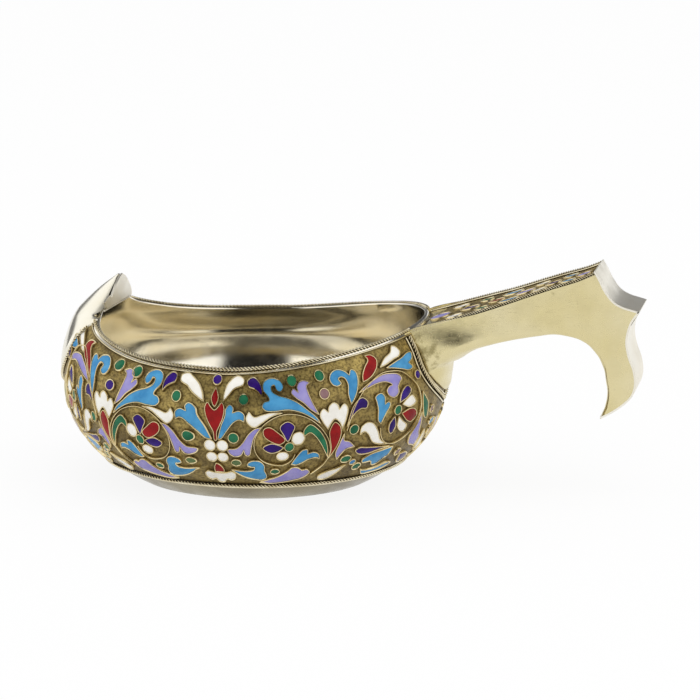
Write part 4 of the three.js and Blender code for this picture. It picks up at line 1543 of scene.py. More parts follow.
    def upward(self, line: Array) -> Array:
        """Give the directions square to the top line in the middle plane."""
        along = np.gradient(line, axis=0)
        up = np.stack([-along[:, 2], np.zeros(len(along)), along[:, 0]], 1)
        return up / np.linalg.norm(up, axis=1, keepdims=True)

    def build(self) -> None:
        """Build the handle."""
        body = MeshStock()
        body.add_rings(self.body_rings())
        made = body.piece("handle_cheeks", [HANDLE_GILT.material()], "handle_metal", ["handle_body"], 32)
        bevelled(made, 0.15, 2, 50)
        self.end_strip()
        self.top_plate()
        self.edge_wires()

    def end_strip(self) -> None:
        """Build the pale strip that closes the scalloped end."""
        line = self.end_line()
        along = np.gradient(line, axis=0)
        inward = np.stack([-along[:, 2], np.zeros(len(along)), along[:, 0]], 1)
        inward /= np.linalg.norm(inward, axis=1, keepdims=True)
        towards = np.array([self.hook()[3].low]) - line
        inward *= np.sign((inward * towards).sum(1, keepdims=True))
        back = line + inward * self.strip_seen
        half = self.end_width / 2 + 0.02
        y = np.array([0, half, 0])
        rings = np.stack([line - y, line + y, back + y, back - y], 1)
        stock = MeshStock()
        stock.add_rings(rings)
        made = stock.piece("end_strip", [PLATE_GILT.material()], "prow_metal", ["handle_end_strip"], 35)
        bevelled(made, 0.08, 1, 50)

    def top_plate(self) -> None:
        """Build the plate that closes the top, with a matted ground for its enamels."""
        line, half = self.top_line()
        up = self.upward(line)
        top, under = line - up * self.plate_sunk, line - up * (self.plate_sunk + self.plate)
        side = np.stack([np.zeros(len(half)), half - self.cheek_top - 0.02, np.zeros(len(half))], 1)
        rings = np.stack([top - side, top + side, under + side, under - side], 1)
        stock = MeshStock()
        stock.add_rings(FORM.pushed_out(rings, 0.0))
        made = stock.piece("top_plate", [GROUND.material()], "plate_metal", ["handle_top_plate"], 35)
        bevelled(made, 0.1, 1, 50)

    def edge_wires(self) -> None:
        """Lay the rope on each edge of the top plate and the plain wire inside it."""
        material = WIRE_GILT.material()
        line, half = self.top_line(0, self.wire_end_share)
        up = self.upward(line)
        kinds = (("rope", self.rope, self.rope_inset), ("wire", self.plain, self.wire_inset))
        for side in Side:
            for label, laid, inset in kinds:
                path = line - up * (self.plate_sunk - laid.diameter / 2)
                path[:, 1] -= side.value * (half - inset)
                lay(f"handle_{label}_{side.name.lower()}", laid, path, up, material)


# The enamel band


@dataclass(frozen=True)
class Panel:
    """A quarter of the band, with the pattern's squares laid on it from the middle of the side.

    Towards the prow the pattern starts further out and is crowded by the beak's shield. Its top
    leans outwards there and lifts with the rim.
    """

    side: Side
    end: End
    shift: float = 2.4
    shift_span: float = 3.5
    crowded_from: float = 30
    crowd_share: float = 0.74
    lean_from: float = 22.5
    lean_span: float = 6
    lean_rate: float = 0.0016
    lean_end: float = 34
    lift: float = 2
    lift_from: Span = (31, 19)
    lift_span: float = 8
    square: float = 0.993

    @property
    def label(self) -> str:
        """The panel's name."""
        return f"{self.side.name.lower()}_{self.end.name.lower()}"

    @property
    def turned(self) -> bool:
        """True where the pattern is mirrored, so that its faces have to be turned."""
        return self.side.value * self.end.value < 0

    def place(self, along: Array, up: Array, offset: Array) -> Array:
        """Give the points of squares at an offset from the bowl's skin."""
        arc = np.asarray(along, float)
        if self.end is End.PROW:
            arc = arc + self.shift * np.clip(arc / self.shift_span, 0, 1)
            arc = arc - np.maximum(0, arc - self.crowded_from) * (1 - self.crowd_share)
            lean = np.clip((np.asarray(up, float) - self.lean_from) / self.lean_span, 0, 1) ** 2
            arc = arc + self.lean_rate * lean * np.minimum(arc, self.lean_end) ** 2 * np.sign(arc)
            outward = np.clip((arc - self.lift_from[0]) / self.lift_span, 0, 1)
            upward = np.clip((up - self.lift_from[1]) / self.lift_span, 0, 1)
            up = up + self.lift * outward * upward
        angle = FORM.angle_at_arc(self.end.value * arc * self.square)
        return FORM.point(angle, up, offset) * [1, self.side.value, 1]


@dataclass(frozen=True)
class Leaf:
    """A cell with a drawn outline. A third value in a point marks a sharp tip."""

    enamel: Enamel
    points: tuple[Control, ...]

    def outline(self) -> Array:
        """Give the cell's outline in squares."""
        return outline_through(self.points)


@dataclass(frozen=True)
class Dot:
    """A round or oval cell."""

    enamel: Enamel
    centre: Span
    width: float
    height: float = 0

    def outline(self) -> Array:
        """Give the cell's outline in squares."""
        turn = np.arange(24) * 2 * math.pi / 24
        tall = self.height or self.width
        return np.stack(
            [self.centre[0] + self.width * np.cos(turn), self.centre[1] + tall * np.sin(turn)], 1
        )


Cell = Leaf | Dot

CENTRE: tuple[Cell, ...] = (
    Dot(COBALT, (0, 28.0), 1.0, 0.85),
    Leaf(RED, ((0, 26.7, 1), (-0.62, 25.4), (-0.7, 24.5), (0, 23.3), (0.7, 24.5), (0.62, 25.4))),
    Leaf(RED, (
        (0, 22.6), (0.8, 23.2), (1.5, 24), (2, 23.1), (1.75, 21.2), (1, 19.4), (0.35, 18), (0.2, 16.2),
        (-0.2, 16.2), (-0.35, 18), (-1, 19.4), (-1.75, 21.2), (-2, 23.1), (-1.5, 24), (-0.8, 23.2),
    )),
    Dot(WHITE, (1.35, 15.0), 1.22),
    Dot(WHITE, (-1.35, 15.0), 1.22),
    Dot(WHITE, (1.25, 12.35), 1.22, 1.08),
    Dot(WHITE, (-1.25, 12.35), 1.22, 1.08),
    Leaf(RED, ((-0.5, 10.8), (0.5, 10.3), (1.1, 9.3), (1.0, 8.7, 1), (-1.0, 8.7, 1), (-1.1, 9.4))),
    Leaf(WHITE, (
        (0, 8.4), (1.6, 8.5), (2.8, 8.8), (3.7, 8.2), (3.4, 7.1), (2.4, 6.6), (1.4, 6.9), (0.6, 6.1),
        (-0.6, 6.1), (-1.4, 6.9), (-2.4, 6.6), (-3.4, 7.1), (-3.7, 8.2), (-2.8, 8.8), (-1.6, 8.5),
    )),
)

INNER_RING: tuple[Control, ...] = (
    (21.7, 7.8), (24, 10), (24.9, 12.5), (24.2, 15.5), (22.5, 18.1), (20.5, 20), (19, 20.9), (17, 21.6),
    (15, 21.8), (13, 21.4), (10.7, 20.1), (9.2, 18.5), (8.2, 16.3), (8.2, 14.3), (8.9, 12.7), (10.2, 11.4),
    (12.3, 10.6), (14.8, 10.5), (16.4, 11.6), (17, 13),
)
OUTER_RING: tuple[Control, ...] = (
    (28, 17.4), (28.5, 19.2), (29.5, 22.2), (31.4, 24.9), (34, 26.9), (37, 28.2), (40, 28.3), (42.6, 27.8),
    (45, 26.2), (47, 24.3), (48.2, 21.8), (48.6, 19.3), (48, 16.8), (46.5, 14.7), (44, 13.2), (41.7, 12.7),
    (39, 13.3), (37.2, 14.8), (36.3, 17),
)

PANEL_CELLS: tuple[Cell, ...] = (
    Leaf(TURQUOISE, (
        (22, 19.5, 1), (19.8, 21), (17.7, 22.1), (15.2, 22.7), (12.6, 22.5), (10.6, 22.6), (9.8, 23.4),
        (10.2, 24.2), (11.3, 24.6), (11, 25.4), (10.1, 26.4), (10.1, 27.7), (11.1, 28.5), (12.6, 28.6),
        (13.9, 28), (14.3, 27), (13.6, 26.2), (12.8, 26.6), (12.5, 27.4), (11.8, 27.1), (11.9, 26.3),
        (13.2, 25.5), (15, 25), (17, 24.1), (19, 22.6), (21, 20.9),
    )),
    Leaf(TURQUOISE, (
        (0.5, 16.4, 1), (1.3, 19.2), (2.2, 21.5), (2.4, 22.9), (3.2, 23.7), (3.9, 23.1), (3.7, 22.1, 1),
        (5.1, 22.5), (6.1, 21.8), (6.1, 20.3, 1), (5.1, 20.7), (3.9, 20.1), (2.4, 18.2), (1.2, 16.6),
    )),
    Leaf(WHITE, (
        (7.1, 22.4, 1), (6.5, 21), (7, 19.8), (8.2, 19.1), (9.7, 20), (11.7, 21.4), (14, 22.1, 1),
        (11.6, 22.1), (9.7, 21.7), (8.2, 21.3),
    )),
    Dot(GREEN, (6.0, 24.7), 1.0),
    Dot(GREEN, (3.8, 16.8), 1.1),
    Leaf(LILAC, (
        (9.6, 19.1, 1), (8.1, 16.9), (7.5, 14.6), (7.1, 12.9), (6.3, 12.9), (5.9, 14.1, 1), (5.2, 12.9),
        (3.9, 12.6), (2.8, 13.2), (2.5, 14.1), (4.3, 14.4), (5.7, 15.7), (6.9, 17.5), (8.2, 18.7),
    )),
    Dot(OLIVE, (4.1, 11.1), 1.1, 0.72),
    Leaf(TURQUOISE, (
        (2.8, 9.4, 1), (4.7, 9.1), (6.4, 9), (7.9, 9.3), (8.2, 10), (7.4, 10.1), (6.5, 10.5), (6.9, 11.2),
        (8.2, 11.6), (9.6, 11.3), (10.4, 10.3), (10.4, 9.2), (10.9, 8.3), (11, 7.3), (10.2, 6.8),
        (8.3, 6.9), (6.2, 7.4), (4.2, 8.4),
    )),
    Dot(GREEN, (12.9, 8.9), 1.05, 0.62),
    Leaf(LILAC, (
        (9.4, 6.1, 1), (11.6, 6.8), (13.3, 7.3), (15.7, 8.7), (16.8, 9.7), (18.2, 9.6), (19.3, 8.9, 1),
        (20.3, 9.1), (21.2, 8.4), (20.3, 7.2), (18, 6.5), (14.9, 6), (12, 5.8),
    )),
    Dot(GREEN, (15.6, 14.7), 1.0),
    Leaf(RED, (
        (10.1, 18.6), (11.2, 19.1), (13.1, 17.9), (14.6, 16.3), (13.6, 15.4), (11.5, 16.1), (10.2, 17.3),
    )),
    Leaf(COBALT, ((13.5, 19.1), (15, 20.2), (16.5, 19.2), (16, 17.6), (15.2, 16), (14.3, 17.4))),
    Leaf(WHITE, ((16, 16.1, 1), (16.4, 17.5), (17.8, 17.9), (18.8, 16.7), (18.1, 15.3), (16.8, 15.2))),
    Leaf(COBALT, ((10, 14.6), (11.6, 15.5), (13.5, 15.1), (14.4, 14.6, 1), (13.2, 13.7), (11.4, 13.5))),
    Dot(WHITE, (14.3, 12.6), 1.35, 0.98),
    Leaf(TURQUOISE, (
        (16.4, 10.6, 1), (17.5, 12.5), (18.6, 13.8), (19.6, 13.9), (19.8, 12.9, 1), (21, 13.2),
        (22.3, 12.7), (22.7, 11.6, 1), (21.9, 11.9), (20.3, 11.7), (18.7, 10.8), (17.4, 10.4),
    )),
    Leaf(LILAC, (
        (21.6, 21.4, 1), (19.9, 22.5), (18.3, 24), (16.8, 25), (15.9, 26), (16.4, 26.7), (17.4, 26, 1),
        (17.2, 27), (17.8, 27.9), (18.9, 28.2), (20.1, 27.8, 1), (19.3, 27.2), (19.5, 25.8), (20.2, 24),
        (21, 22.5),
    )),
    Leaf(WHITE, (
        (21.8, 21.3), (22.5, 22.5), (23.6, 21.7, 1), (23.7, 22.8), (24.7, 23.6), (25.7, 23.1),
        (26, 22.1, 1), (27.1, 23.2), (27.9, 22.3), (27.6, 20), (26.9, 18, 1), (26.2, 19.4), (25.1, 20.2),
        (24.3, 19.4), (23.7, 18.1, 1), (22.5, 19.7),
    )),
    Leaf(RED, (
        (24.8, 11.5, 1), (25, 13.6), (24.4, 15.8), (24.1, 17.7), (25.1, 19.5), (26.3, 18.6), (26.7, 16.9),
        (26.3, 14.6), (25.6, 12.9),
    )),
    Leaf(GREEN, (
        (18.6, 16.9, 1), (18.5, 18.2), (19.7, 19.4), (21.6, 18.2), (23.3, 15.9), (24.2, 13.6),
        (24.6, 11.8, 1), (23.8, 13), (22.5, 15), (21, 16.9), (19.8, 17.7),
    )),
    Leaf(LILAC, (
        (27.5, 16.9, 1), (27.7, 15.3), (29, 14.9), (30.6, 13.6, 1), (28.5, 13.2), (27.6, 12.1),
        (27, 11, 1), (26.3, 12.5), (26.8, 14.8),
    )),
    Leaf(COBALT, (
        (27.9, 18.2, 1), (28.6, 21), (29.4, 22.7), (31.2, 24), (32.6, 23), (32.3, 21.8), (31, 21.8),
        (29.6, 21), (28.6, 19.7),
    )),
    Dot(GREEN, (29.7, 17.5), 1.05),
    Dot(GREEN, (29.4, 10.8), 1.3, 0.82),
    Dot(SKY, (31.6, 9.8), 0.8, 0.62),
    Dot(GREEN, (33.4, 8.5), 1.15, 0.8),
    Leaf(WHITE, ((23.8, 6.9), (25.7, 8), (27.8, 8.5), (30, 9.3, 1), (28, 7.1), (26, 6.1), (24.4, 6.2))),
    Dot(COBALT, (47.6, 26.4), 0.9),
    Dot(GREEN, (40.8, 20.1), 1.0),
    Leaf(COBALT, ((41.2, 21.6, 1), (41.8, 23.6), (43.6, 24.8), (44.8, 23.8), (44, 22.7))),
    Leaf(WHITE, ((42, 21.1, 1), (43.4, 22), (45, 22.6), (46.4, 21), (44.6, 20.2))),
    Leaf(RED, ((42, 19.2, 1), (44.6, 19.8), (46.3, 19.4), (47.2, 18.2), (45.7, 16.9), (44, 17.4))),
    Leaf(WHITE, ((41.2, 18.7, 1), (41.3, 16.6), (42.6, 15.3), (43.8, 15.1), (44.3, 16.3), (42.8, 17.4))),
    Leaf(COBALT, ((40, 18.9, 1), (38.8, 17.4), (39, 15.8), (39.8, 15.2), (40.7, 16.6))),
    Leaf(TURQUOISE, (
        (34.6, 23.7), (36, 24.3), (37, 23.4), (37, 21.9, 1), (38, 22.3), (38.5, 21.7), (37.4, 20),
        (36.3, 17.9, 1), (35.5, 18.6), (35.3, 21), (34.9, 22.6),
    )),
    Leaf(WHITE, (
        (31.3, 16.1, 1), (31.5, 17.8), (32.8, 18.6), (34.3, 18.2), (35.9, 16.3), (37.1, 14.3),
        (39.6, 12.9, 1), (37, 13.3), (35, 14.1), (33.4, 16), (32.3, 16.7),
    )),
    Leaf(COBALT, (
        (31.2, 12.6), (32, 13.1), (34, 12.9), (37, 12.6), (41, 12.2, 1), (37, 11.8), (34.7, 11.4),
        (32.2, 11.7),
    )),
    Leaf(TURQUOISE, (
        (34.2, 9.9), (36, 11), (39, 11.5), (42.2, 11.9, 1), (42.1, 10), (40.9, 9.3), (39.3, 8.1),
        (38, 8.3), (37.2, 9.2), (36, 9.2), (34.8, 9.2),
    )),
    Dot(MAUVE, (45.5, 10), 0.95, 0.8),
    Leaf(GREEN, (
        (49, 22.6, 1), (50.2, 21.3), (51.6, 19.7), (52.1, 16.5, 1), (50.8, 16.8), (49.7, 18.6), (49.1, 21),
    )),
    Leaf(LILAC, (
        (49.2, 18.3, 1), (48.6, 16), (47.2, 13.2), (48.2, 11.4), (50.2, 10.8), (52, 10.2, 1), (52, 12.2),
        (50.7, 13.6), (50, 16),
    )),
    Leaf(WHITE, (
        (53.3, 13.6, 1), (54.4, 12.6), (55.6, 10.6), (56.8, 9.2), (55.4, 8.5), (54, 9.4), (53.2, 11.2),
    )),
    Leaf(COBALT, ((47.4, 9.1, 1), (49.4, 9.2), (51.6, 8.5), (52.8, 7.2), (51, 6.6), (48.8, 7.2))),
    Leaf(TURQUOISE, (
        (35.6, 7.2, 1), (38, 6.9), (41, 7.1), (44, 7.8), (45.8, 7.4), (44, 6.4), (40, 6), (37, 6.1),
    )),
)

HANDLE_CELLS: tuple[Cell, ...] = (
    Leaf(TURQUOISE, (
        (28.7, 22.9, 1), (28.2, 25), (28.4, 27), (27.9, 28.2), (27.1, 28.5), (26.4, 28.1), (26.9, 27.3),
        (26.1, 26.8), (25, 27.1), (24.5, 28.2), (25.1, 29.3), (26.5, 29.9), (28, 29.6), (29.1, 28.7, 1),
        (29.8, 29.7), (30.7, 29.3), (30.9, 28), (30.4, 25.9), (29.6, 24.2),
    )),
    Leaf(RED, (
        (32, 27.1, 1), (32.2, 28.3), (33.3, 29.9), (34.6, 31.2), (34.2, 32, 1), (35.7, 32), (36.7, 31.1),
        (36.3, 29.8), (34.8, 28.3), (33.3, 27.5),
    )),
    Leaf(WHITE, (
        (37, 29.4, 1), (39, 31), (41.2, 31.9), (42.2, 33), (43.3, 32.7), (44, 31.8), (43.4, 31),
        (41.3, 30.5), (39, 29.8),
    )),
    Leaf(TURQUOISE, (
        (38.6, 29.1, 1), (41.5, 29.9), (44, 30.5), (45.8, 31.1), (47.4, 31), (47, 29.9), (45.5, 29.2, 1),
        (46.5, 28.2), (45, 27.8), (43, 28.3), (40.7, 28.8),
    )),
    Leaf(LILAC, (
        (30.5, 25, 1), (32.4, 26.2), (34.2, 27.0), (37, 27.9), (39.3, 27.9), (41.5, 27.4), (42.2, 26.5),
        (41.5, 25.8), (40.9, 25), (40.9, 23.8), (39.7, 23), (38.2, 23.5), (37.7, 24.6), (38.4, 25.4),
        (39.3, 25.6), (38.6, 26.1), (37.2, 26.5), (35.3, 26.4), (33, 25.8),
    )),
    Dot(GREEN, (16.25, 28.2), 1.05),
    Dot(GREEN, (22.4, 29), 1.05),
    Leaf(WHITE, (
        (5.9, 28.3), (4.3, 28.8), (2.5, 27.4), (1.9, 25.8), (1.8, 24.3, 1), (2.8, 25.4), (3.9, 26.6),
        (5.8, 27.4),
    )),
    Leaf(COBALT, (
        (6.7, 28), (8, 28.7), (9.2, 27.9), (9.8, 26.6), (9.8, 25.4, 1), (9, 26.2), (8.2, 26.7), (7, 27.1),
    )),
    Dot(MAUVE, (22.9, 25.5), 1.05),
    Dot(MAUVE, (53.9, 18.0), 0.85),
    Dot(TURQUOISE, (55.8, 15.0), 1.3, 0.8),
    Dot(RED, (57.6, 12.6), 0.95),
    Leaf(LILAC, ((58.4, 15.2, 1), (60.2, 14.9), (61.8, 13.2), (61.6, 11), (60.2, 10.4), (59.8, 12.4))),
    Leaf(TURQUOISE, ((57.6, 6.4), (59.4, 8.8), (61.8, 9.6, 1), (61.6, 7.6), (60, 6.3))),
)

PROW_CELLS: tuple[Cell, ...] = (
    Leaf(WHITE, (
        (5.9, 28.3), (4.3, 28.7), (2.5, 27.4), (1.7, 25.8), (1.4, 24.1, 1), (2.8, 25.4), (3.9, 26.6),
        (5.8, 27.4),
    )),
    Leaf(COBALT, (
        (7, 28.2), (8.2, 28.6), (9.2, 27.9), (9.6, 26.6), (9.4, 25.4, 1), (8.8, 26.2), (8, 26.7),
        (7, 27.2),
    )),
    Dot(COBALT, (23.2, 24.9), 1.25, 0.95),
    Dot(GREEN, (16.8, 27.9), 1.2, 0.95),
    Dot(GREEN, (22, 28.5), 1.25, 0.95),
    Leaf(TURQUOISE, (
        (29, 21.9, 1), (28.5, 24.6), (28.5, 26.8), (27.9, 28), (27.1, 28.4), (26.4, 28), (26.9, 27.2),
        (26.1, 26.5), (25, 26.8), (24.4, 28), (25, 29.1), (26.4, 29.7), (27.8, 29.4), (28.8, 28.4, 1),
        (30, 28.9), (31.2, 28.5), (31.6, 27.4), (31, 25.6), (30, 23.8),
    )),
    Leaf(RED, (
        (31, 24.9, 1), (31.8, 26.9), (33.1, 28.1), (34.5, 29), (34.7, 29.4), (33.6, 30, 1), (35.5, 29.9),
        (37.2, 29.4), (37.7, 28.6), (37.4, 27.7), (36.6, 27.1), (34.7, 26.6), (32.9, 25.8),
    )),
    Leaf(LILAC, (
        (31.2, 24.1, 1), (33.4, 25.6), (36.8, 26.5), (40.6, 26.9), (43.5, 26.7), (45, 26.3),
        (44.5, 25.6, 1), (41.5, 25.8), (38.8, 25.3), (34.8, 24.6),
    )),
    Leaf(TURQUOISE, (
        (48.6, 29.8, 1), (44.8, 29.1), (42.2, 28.1, 1), (44, 27.5), (47.4, 27.4, 1), (47.2, 28.5),
    )),
    Leaf(WHITE, (
        (49.2, 32.1, 1), (49.6, 31.1), (46.4, 30.2), (42, 28.8), (39.4, 27.7), (37.6, 27.3, 1),
        (38.6, 28.3), (41.3, 29.7), (44.8, 30.9), (47.8, 31.7),
    )),
    Dot(MAUVE, (53.9, 16.6), 0.9),
    Dot(RED, (58, 12.2), 1.1),
    Leaf(TURQUOISE, ((60.4, 15.6, 1), (63, 15.4), (66, 13.6), (66.2, 11.2), (64, 10.4), (62.4, 12.6))),
    Leaf(LILAC, ((59.6, 6.4), (62, 8.8), (65.6, 9.6, 1), (65.6, 7.4), (63, 6.3))),
)


@dataclass(frozen=True)
class EnamelBand:
    """The cloisonne band: enamel cells between flat wires stood on the matted ground."""

    half_wire: float = 0.105
    wire_foot: float = -0.05
    wire_top: float = 0.5
    fill_edge: float = 0.34
    dome: float = 0.14

    def cells_of(self, end: End) -> tuple[Cell, ...]:
        """List a panel's cells."""
        return PANEL_CELLS + (HANDLE_CELLS if end is End.HANDLE else PROW_CELLS)

    def fill(
        self,
        name: str,
        cells: Sequence[Cell],
        panel: Panel,
        replaced: dict[Enamel, list[str]],
        glass: dict[Enamel, Material],
    ) -> None:
        """Fill cells with enamel, one piece for each colour.

        Args:
            name: The pieces' common name.
            cells: The cells.
            panel: The panel they lie on.
            replaced: The CAD nodes that each colour stands for.
            glass: The colours' materials.
        """
        for enamel in Enamel:
            chosen = [cell for cell in cells if cell.enamel is enamel]
            if not chosen:
                continue
            stock = MeshStock()
            for cell in chosen:
                add_cell(stock, cell.outline(), panel.place, self.fill_edge, self.dome)
            if panel.turned:
                stock.faces = [face[::-1] for face in stock.faces]
            stock.piece(
                f"{name}_{enamel.label}", [glass[enamel]], enamel.slot, replaced.get(enamel, []), crease=80
            )

    def wires(
        self,
        name: str,
        lines: Sequence[tuple[Array, bool]],
        panel: Panel,
        material: Material,
        replaced: Sequence[str] = (),
    ) -> None:
        """Stand cell wires on lines.

        Args:
            name: The piece's name.
            lines: For each wire its line in squares and whether it is closed.
            panel: The panel they lie on.
            material: Their finish.
            replaced: The CAD nodes that they stand for.
        """
        stock = MeshStock()
        for line, closed in lines:
            section = (self.half_wire, self.wire_foot, self.wire_top)
            rings = strip_rings(line, closed, panel.place, *section)
            stock.add_rings(rings, joined=closed)
        stock.piece(name, [material], "wire_metal", replaced, crease=55)

    def build(self) -> None:
        """Build the band's four panels and the motif in the middle of each side."""
        glass = {enamel: enamel.value.material() for enamel in Enamel}
        wire = CELL_GILT.material()
        for side in Side:
            middle = Panel(side, End.HANDLE)
            label = side.name.lower()
            nodes = {
                Enamel.RED: [f"{label}_tulip"],
                Enamel.WHITE: [f"{label}_four_dots", f"{label}_fan"],
            }
            self.fill(f"{label}_centre", CENTRE, middle, nodes, glass)
            self.wires(f"{label}_centre_cells", [(c.outline(), True) for c in CENTRE], middle, wire)
            for end in End:
                panel = Panel(side, end)
                nodes = {
                    Enamel.TURQUOISE: [f"{panel.label}_curled_leaf", f"{panel.label}_hook_leaf"],
                    Enamel.COBALT: [f"{panel.label}_inner_rosette", f"{panel.label}_outer_rosette"],
                    Enamel.LILAC: [f"{panel.label}_long_leaf"],
                    Enamel.WHITE: [f"{panel.label}_palmette"],
                }
                cells = self.cells_of(end)
                self.fill(panel.label, cells, panel, nodes, glass)
                self.wires(f"{panel.label}_cells", [(c.outline(), True) for c in cells], panel, wire)
                rings = [(outline_through(r, closed=False), False) for r in (INNER_RING, OUTER_RING)]
                scrolls = [f"{panel.label}_inner_scroll", f"{panel.label}_outer_scroll"]
                self.wires(f"{panel.label}_scrolls", rings, panel, wire, scrolls)


@dataclass(frozen=True)
class HandleEnamel:
    """The enamels of the handle's top plate.

    Each has its colour, the shares of the plate's length and half width at which it lies, its half
    length and its half width. One that lies beside the middle has a twin on the other side.
    """

    handle: Handle
    enamels: tuple[tuple[Enamel, float, float, float, float], ...] = (
        (LILAC, 0.1, 0.0, 2.3, 2.6),
        (WHITE, 0.2, 0.55, 1.9, 1.5),
        (COBALT, 0.27, 0.0, 2.2, 1.4),
        (GREEN, 0.35, 0.52, 1.6, 1.4),
        (RED, 0.42, 0.0, 1.9, 1.3),
        (TURQUOISE, 0.5, 0.5, 2.4, 1.3),
        (LILAC, 0.58, 0.0, 2.4, 1.5),
        (WHITE, 0.67, 0.48, 1.8, 1.2),
        (COBALT, 0.74, 0.0, 1.9, 1.3),
        (TURQUOISE, 0.83, 0.42, 1.8, 1.2),
        (LILAC, 0.91, 0.0, 1.7, 1.6),
    )
    margin: float = 1.2
    fill_edge: float = 0.2
    dome: float = 0.1
    half_wire: float = 0.13
    wire_foot: float = -0.05
    wire_top: float = 0.34

    def build(self) -> None:
        """Build the plate's enamels and their cell wires."""
        line, half = self.handle.top_line()
        up = self.handle.upward(line)
        lengths = length_along(line)

        def place(along: Array, side: Array, offset: Array) -> Array:
            """Give points on the plate."""
            at = np.stack([np.interp(along, lengths, line[:, k]) for k in range(3)], 1)
            way = np.stack([np.interp(along, lengths, up[:, k]) for k in range(3)], 1)
            found = at + way * (np.asarray(offset) - self.handle.plate_sunk)[:, None]
            found[:, 1] = side
            return found

        wires = MeshStock()
        stocks: dict[Enamel, MeshStock] = {}
        for enamel, share, aside, width, height in self.enamels:
            reach = float(np.interp(share * lengths[-1], lengths, half)) - self.margin
            for side in (aside, -aside) if aside else (aside,):
                outline = Dot(enamel, (share * lengths[-1], side * reach), width, height).outline()
                stock = stocks.setdefault(enamel, MeshStock())
                add_cell(stock, outline, place, self.fill_edge, self.dome)
                section = (self.half_wire, self.wire_foot, self.wire_top)
                wires.add_rings(strip_rings(outline, True, place, *section), joined=True)
        for enamel, stock in stocks.items():
            stock.faces = [face[::-1] for face in stock.faces]
            replaced = ["handle_inlay"] if enamel is Enamel.LILAC else []
            material = enamel.value.material()
            stock.piece(f"plate_{enamel.label}", [material], enamel.slot, replaced, crease=80)
        wires.piece("plate_cells", [CELL_GILT.material()], "wire_metal", crease=55)


# The stage


@dataclass(frozen=True)
class Viewpoint:
    """The camera of the photograph."""

    azimuth: float = 11.0
    elevation: float = 12.12
    distance: float = 769
    aim: tuple[float, float, float] = (18.84, 9.35, 25.74)
    lens: float = 183.1
    sensor: float = 36
    nearest: float = 10

    def build(self) -> None:
        """Set the camera up."""
        turn, rise = math.radians(self.azimuth), math.radians(self.elevation)
        back = Vector((math.sin(turn) * math.cos(rise), -math.cos(turn) * math.cos(rise), math.sin(rise)))
        right = Vector((math.cos(turn), math.sin(turn), 0))
        above = back.cross(right)
        place = (Vector(self.aim) + back * self.distance) * METRE
        camera = bpy.data.cameras.new("photo_camera")
        camera.lens = self.lens
        camera.sensor_width = self.sensor
        camera.clip_start = self.nearest * METRE
        made = bpy.data.objects.new("photo_camera", camera)
        turned = Matrix((right, above, back)).transposed().to_4x4()
        made.matrix_world = Matrix.Translation(place) @ turned
        bpy.context.scene.collection.objects.link(made)
        bpy.context.scene.camera = made


# A bound of a patch of the room: an axis of the direction, the low and high end, the softness
Bound = tuple[str, float, float, float]


class Room(Tree):
    """The world's node tree, which lights the room by direction."""

    def __init__(self, name: str) -> None:
        """Start an empty world.

        Args:
            name: The world's name.
        """
        world = bpy.data.worlds.new(name)
        world.use_nodes = True
        bpy.context.scene.world = world
        super().__init__(world.node_tree)
        self.tree.nodes.clear()
        where = self.add("ShaderNodeTexCoord")
        self.parts = self.add("ShaderNodeSeparateXYZ")
        self.join(where.outputs["Generated"], self.parts.inputs["Vector"])

    def within(self, bound: Bound) -> Socket:
        """Give 1 between a bound's ends, falling to 0 softly outside them."""
        axis, low, high, soft = bound
        part = self.parts.outputs[axis]
        rising = self.ranged(part, (low - soft, low), (0, 1), smooth=True)
        falling = self.ranged(part, (high + soft, high), (0, 1), smooth=True)
        return self.joined("MULTIPLY", rising, falling)

    def joined(self, way: str, *shares: Socket) -> Socket:
        """Join shares in turn by an operation, each result held within 0 and 1."""
        found = shares[0]
        for share in shares[1:]:
            found = self.combined(way, found, share, clamped=True)
        return found

    def patch(self, bounds: Sequence[Bound]) -> Socket:
        """Give 1 within all of a patch's bounds."""
        return self.joined("MULTIPLY", *(self.within(bound) for bound in bounds))

    def light(self, strength: Socket | float = 1.0) -> Socket:
        """Add a white light of a strength."""
        node = self.add("ShaderNodeBackground")
        node.inputs["Color"].default_value = (1, 1, 1, 1)
        if isinstance(strength, float):
            node.inputs["Strength"].default_value = strength
        else:
            self.join(strength, node.inputs["Strength"])
        return node.outputs["Background"]


